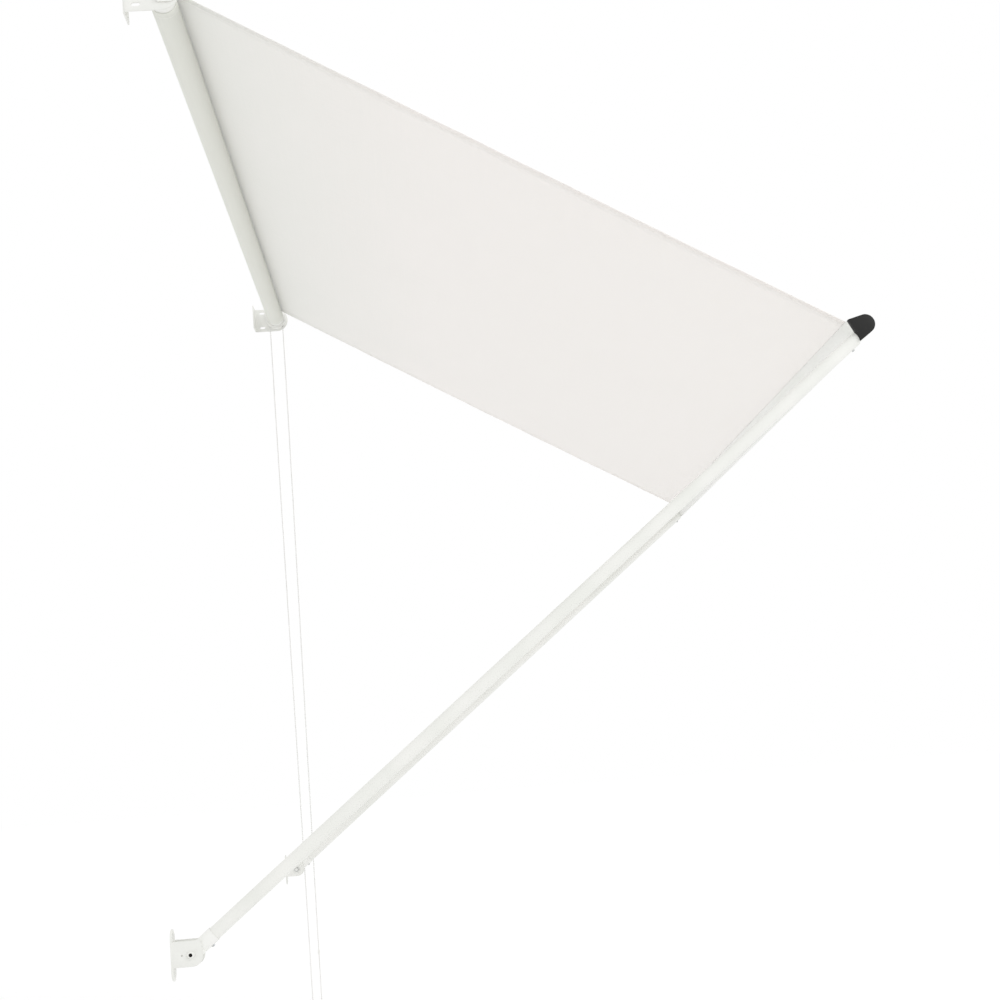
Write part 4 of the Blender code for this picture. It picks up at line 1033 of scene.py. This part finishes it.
def paint_socket_shade(bolt, start, inwards):
    """Gives the faces inside the hexagon a dark finish, as painted shade in the recess."""
    bolt.data.materials.append(SOCKET_SHADE)
    for polygon in bolt.data.polygons:
        offset = polygon.center - start
        depth = offset.dot(inwards)
        off_axis = (offset - inwards * depth).length
        if off_axis < 2.75 * MM and depth < -1.9 * MM:
            polygon.material_index = 1


# %% The hexagon nut
def hexagon_nut(radius, height, bore):
    """A hexagon whose corners are rounded off by a sphere, which misses its flats."""
    nut = upright(radius, height, vertices=6)
    reach = math.hypot(radius, height / 2 - 0.6 * MM)
    round_off = primitive("uv_sphere", segments=96, ring_count=49, radius=reach, location=(0, 0, height / 2))
    settle(round_off)
    cut_out(nut, round_off, "INTERSECT")
    hole = upright(bore, 3 * height, vertices=48)
    hole.data.transform(Matrix.Translation((0, 0, -height)))
    cut_out(nut, hole)
    smooth(nut, 25)
    return nut


# %% Pivot bolts and nuts in their places
INWARDS = {"left": Vector((1, 0, 0)), "right": Vector((-1, 0, 0))}


def width_of(node):
    low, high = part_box(node)
    return high.x - low.x


def outer_end(node, side):
    """The middle of the end that faces away from the awning, on the pivots' axis."""
    low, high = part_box(node)
    return Vector((low.x if side == "left" else high.x, -PIVOT_OUT, -PIVOT_DROP))


bolt_model = button_head_bolt(width_of("left_pivot_bolt") - BOLT_HEAD_HEIGHT)
nut_model = hexagon_nut(7.5 * MM, width_of("left_pivot_nut"), 4.3 * MM)
for side in SIDES:
    node = side + "_pivot_bolt"
    seat = outer_end(node, side) + INWARDS[side] * BOLT_HEAD_HEIGHT
    bolt = copy_to(bolt_model, "button_head_" + node, seat, INWARDS[side])
    dress(bolt, POWDERED_STEEL, node)
    paint_socket_shade(bolt, seat, INWARDS[side])
    node = side + "_pivot_nut"
    nut = copy_to(nut_model, "rounded_" + node, outer_end(node, side), INWARDS[side])
    dress(nut, ZINC_PLATE, node)
    print(bolt.name, "has", len(bolt.data.polygons), "faces and", nut.name, len(nut.data.polygons))
bpy.data.objects.remove(bolt_model)
bpy.data.objects.remove(nut_model)

# %% [markdown]
# ## Fine edges on the measured parts
#
# No pressed, cast or coated part has a truly sharp edge: the powder alone rounds it by half a
# millimetre, and a rounded edge is what catches the light. Each measured part that shows is copied, its
# loose triangles are merged back into whole faces, its edges are bevelled by an amount that suits how
# it was made, and it is shaded smooth where it is round. The two corner pieces are mirror images, so
# one is made and the other is mirrored from it.

# %% A finer copy of a measured part
SHARP_ANGLE = math.radians(32)


def finer_copy(node, edge_mm, material):
    """A merged copy of a measured part, with bevelled edges and its finish."""
    source = CAD[node]
    mesh = source.data.copy()
    piece = bpy.data.objects.new("fine_" + node, mesh)
    bpy.context.scene.collection.objects.link(piece)
    edit(piece)
    bpy.ops.mesh.select_all(action="SELECT")
    bpy.ops.mesh.remove_doubles(threshold=0.00001)
    bpy.ops.mesh.dissolve_limited(angle_limit=math.radians(0.6))
    leave_edit()
    rounding = piece.modifiers.new("edges", "BEVEL")
    rounding.width = edge_mm * MM
    rounding.segments = 2
    rounding.limit_method = "ANGLE"
    rounding.angle_limit = SHARP_ANGLE
    rounding.miter_outer = "MITER_ARC"
    rounding.use_clamp_overlap = True
    bpy.ops.object.modifier_apply(modifier=rounding.name)
    smooth(piece, 40)
    dress(piece, material, node)
    return piece


def mirrored_copy(piece, node, material):
    """The same piece for the left end, mirrored in the plane across the middle of the roller."""
    copied = bpy.data.objects.new("fine_" + node, piece.data.copy())
    bpy.context.scene.collection.objects.link(copied)
    mirror = Matrix.Translation((LEFT + RIGHT, 0, 0)) @ Matrix.Scale(-1, 4, (1, 0, 0))
    copied.data.transform(mirror)
    copied.data.flip_normals()
    dress(copied, material, node)


for side in SIDES:
    finer_copy(side + "_roller_bracket", 0.5, POWDERED_STEEL)
    finer_copy(side + "_arm_bracket", 0.5, POWDERED_STEEL)
    finer_copy(side + "_arm_socket", 0.8, POWDERED_ALUMINIUM)
right_corner = finer_copy("right_corner", 0.2, BLACK_POLYAMIDE)
mirrored_copy(right_corner, "left_corner", BLACK_POLYAMIDE)
finer_copy("front_bar", 0.25, POWDERED_ALUMINIUM)
finer_copy("chain_cover", 0.3, WHITE_ACETAL)
finer_copy("pin_keeper", 0.6, WHITE_ACETAL)
clip = finer_copy("chain_connector", 0.6, WHITE_ACETAL)
fine_copies = [obj.name for obj in bpy.data.objects if obj.name.startswith("fine_")]
print("the fine copies stand for", len(fine_copies), "parts")

# %% Finishes for the parts that stay as they are
STAYING = {"zinc_plated_steel": ZINC_PLATE, "white_plastic": WHITE_ACETAL}
SLOT_OF = {p["node"]: p["material_slot"] for p in frame["record"]["subparts"]}
for name, node in CAD.items():
    if not node.hide_render:
        node.data.materials.clear()
        node.data.materials.append(STAYING[SLOT_OF[name]])
print("left as measured:", sorted(n for n, o in CAD.items() if not o.hide_render))

# %% [markdown]
# ## The soft parts
#
# The chain is a cord of a fixed length that hangs from the wheel and comes back to it, and the canopy
# is a sheet that was cut flat and is now stretched between the roller and the bar.

# %% [markdown]
# ## Sky, floor and lamp
#
# The picture has a plain white ground. A white sky gives soft light from all round, at the level at which
# a colour looks as it is written, and one wide lamp from the front and above adds a little, so that the
# round tubes turn from light to shade. The floor is a sheet of white paper. It glows faintly to the
# camera, so that it reads as white as the sky, and it still takes the awning's soft shadow.

# %% Sky
SKY_LIGHT = 1.0
world = bpy.data.worlds.new("studio")
bpy.context.scene.world = world
world.use_nodes = True
tree = world.node_tree
sky = tree.nodes["Background"]
sky.inputs["Color"].default_value = (1, 1, 1, 1)
sky.inputs["Strength"].default_value = SKY_LIGHT

# %% Floor
PAPER_GLOW = 0.05
paper, tree, shader = finish_of("seamless_paper", Roughness=0.9)
shader.inputs["Base Color"].default_value = linear("FAFAFA")
shader.inputs["Specular IOR Level"].default_value = 0.0
rays = add(tree, "LightPath").outputs["Is Camera Ray"]
shader.inputs["Emission Color"].default_value = (1, 1, 1, 1)
glow = add(tree, "Math", {0: rays, 1: PAPER_GLOW}, operation="MULTIPLY").outputs[0]
tree.links.new(glow, shader.inputs["Emission Strength"])
floor = primitive("plane", size=60, location=(1.0, -0.7, CAD_LOW.z - 0.02))
floor.name = "floor"
floor.data.materials.append(paper)
floor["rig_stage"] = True

# %% Lamp
def wide_lamp(name, place, aim, size, power):
    light = bpy.data.lights.new(name, "AREA")
    light.shape = "SQUARE"
    light.size = size
    light.energy = power
    lamp = bpy.data.objects.new(name, light)
    bpy.context.scene.collection.objects.link(lamp)
    lamp.location = place
    lamp.rotation_euler = (Vector(aim) - Vector(place)).to_track_quat("-Z", "Y").to_euler()
    print("lamp", name, "is", size, "m wide and the sky is at", SKY_LIGHT)


MIDDLE = (0.975, -0.7, -0.9)
wide_lamp("key", (-2.2, -4.2, 1.6), MIDDLE, 3.0, 45)

# %% [markdown]
# ## Check the size
#
# The dressed awning has to stay inside the box of the measured one, give or take the cloth.

# %% Plain view settings
bpy.context.scene.view_settings.view_transform = "Standard"

# %% Print how far the boxes differ
low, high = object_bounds()
print("lowest corner differs by", [round((a - b) / MM, 1) for a, b in zip(low, CAD_LOW)], "mm")
print("highest corner differs by", [round((a - b) / MM, 1) for a, b in zip(high, CAD_HIGH)], "mm")
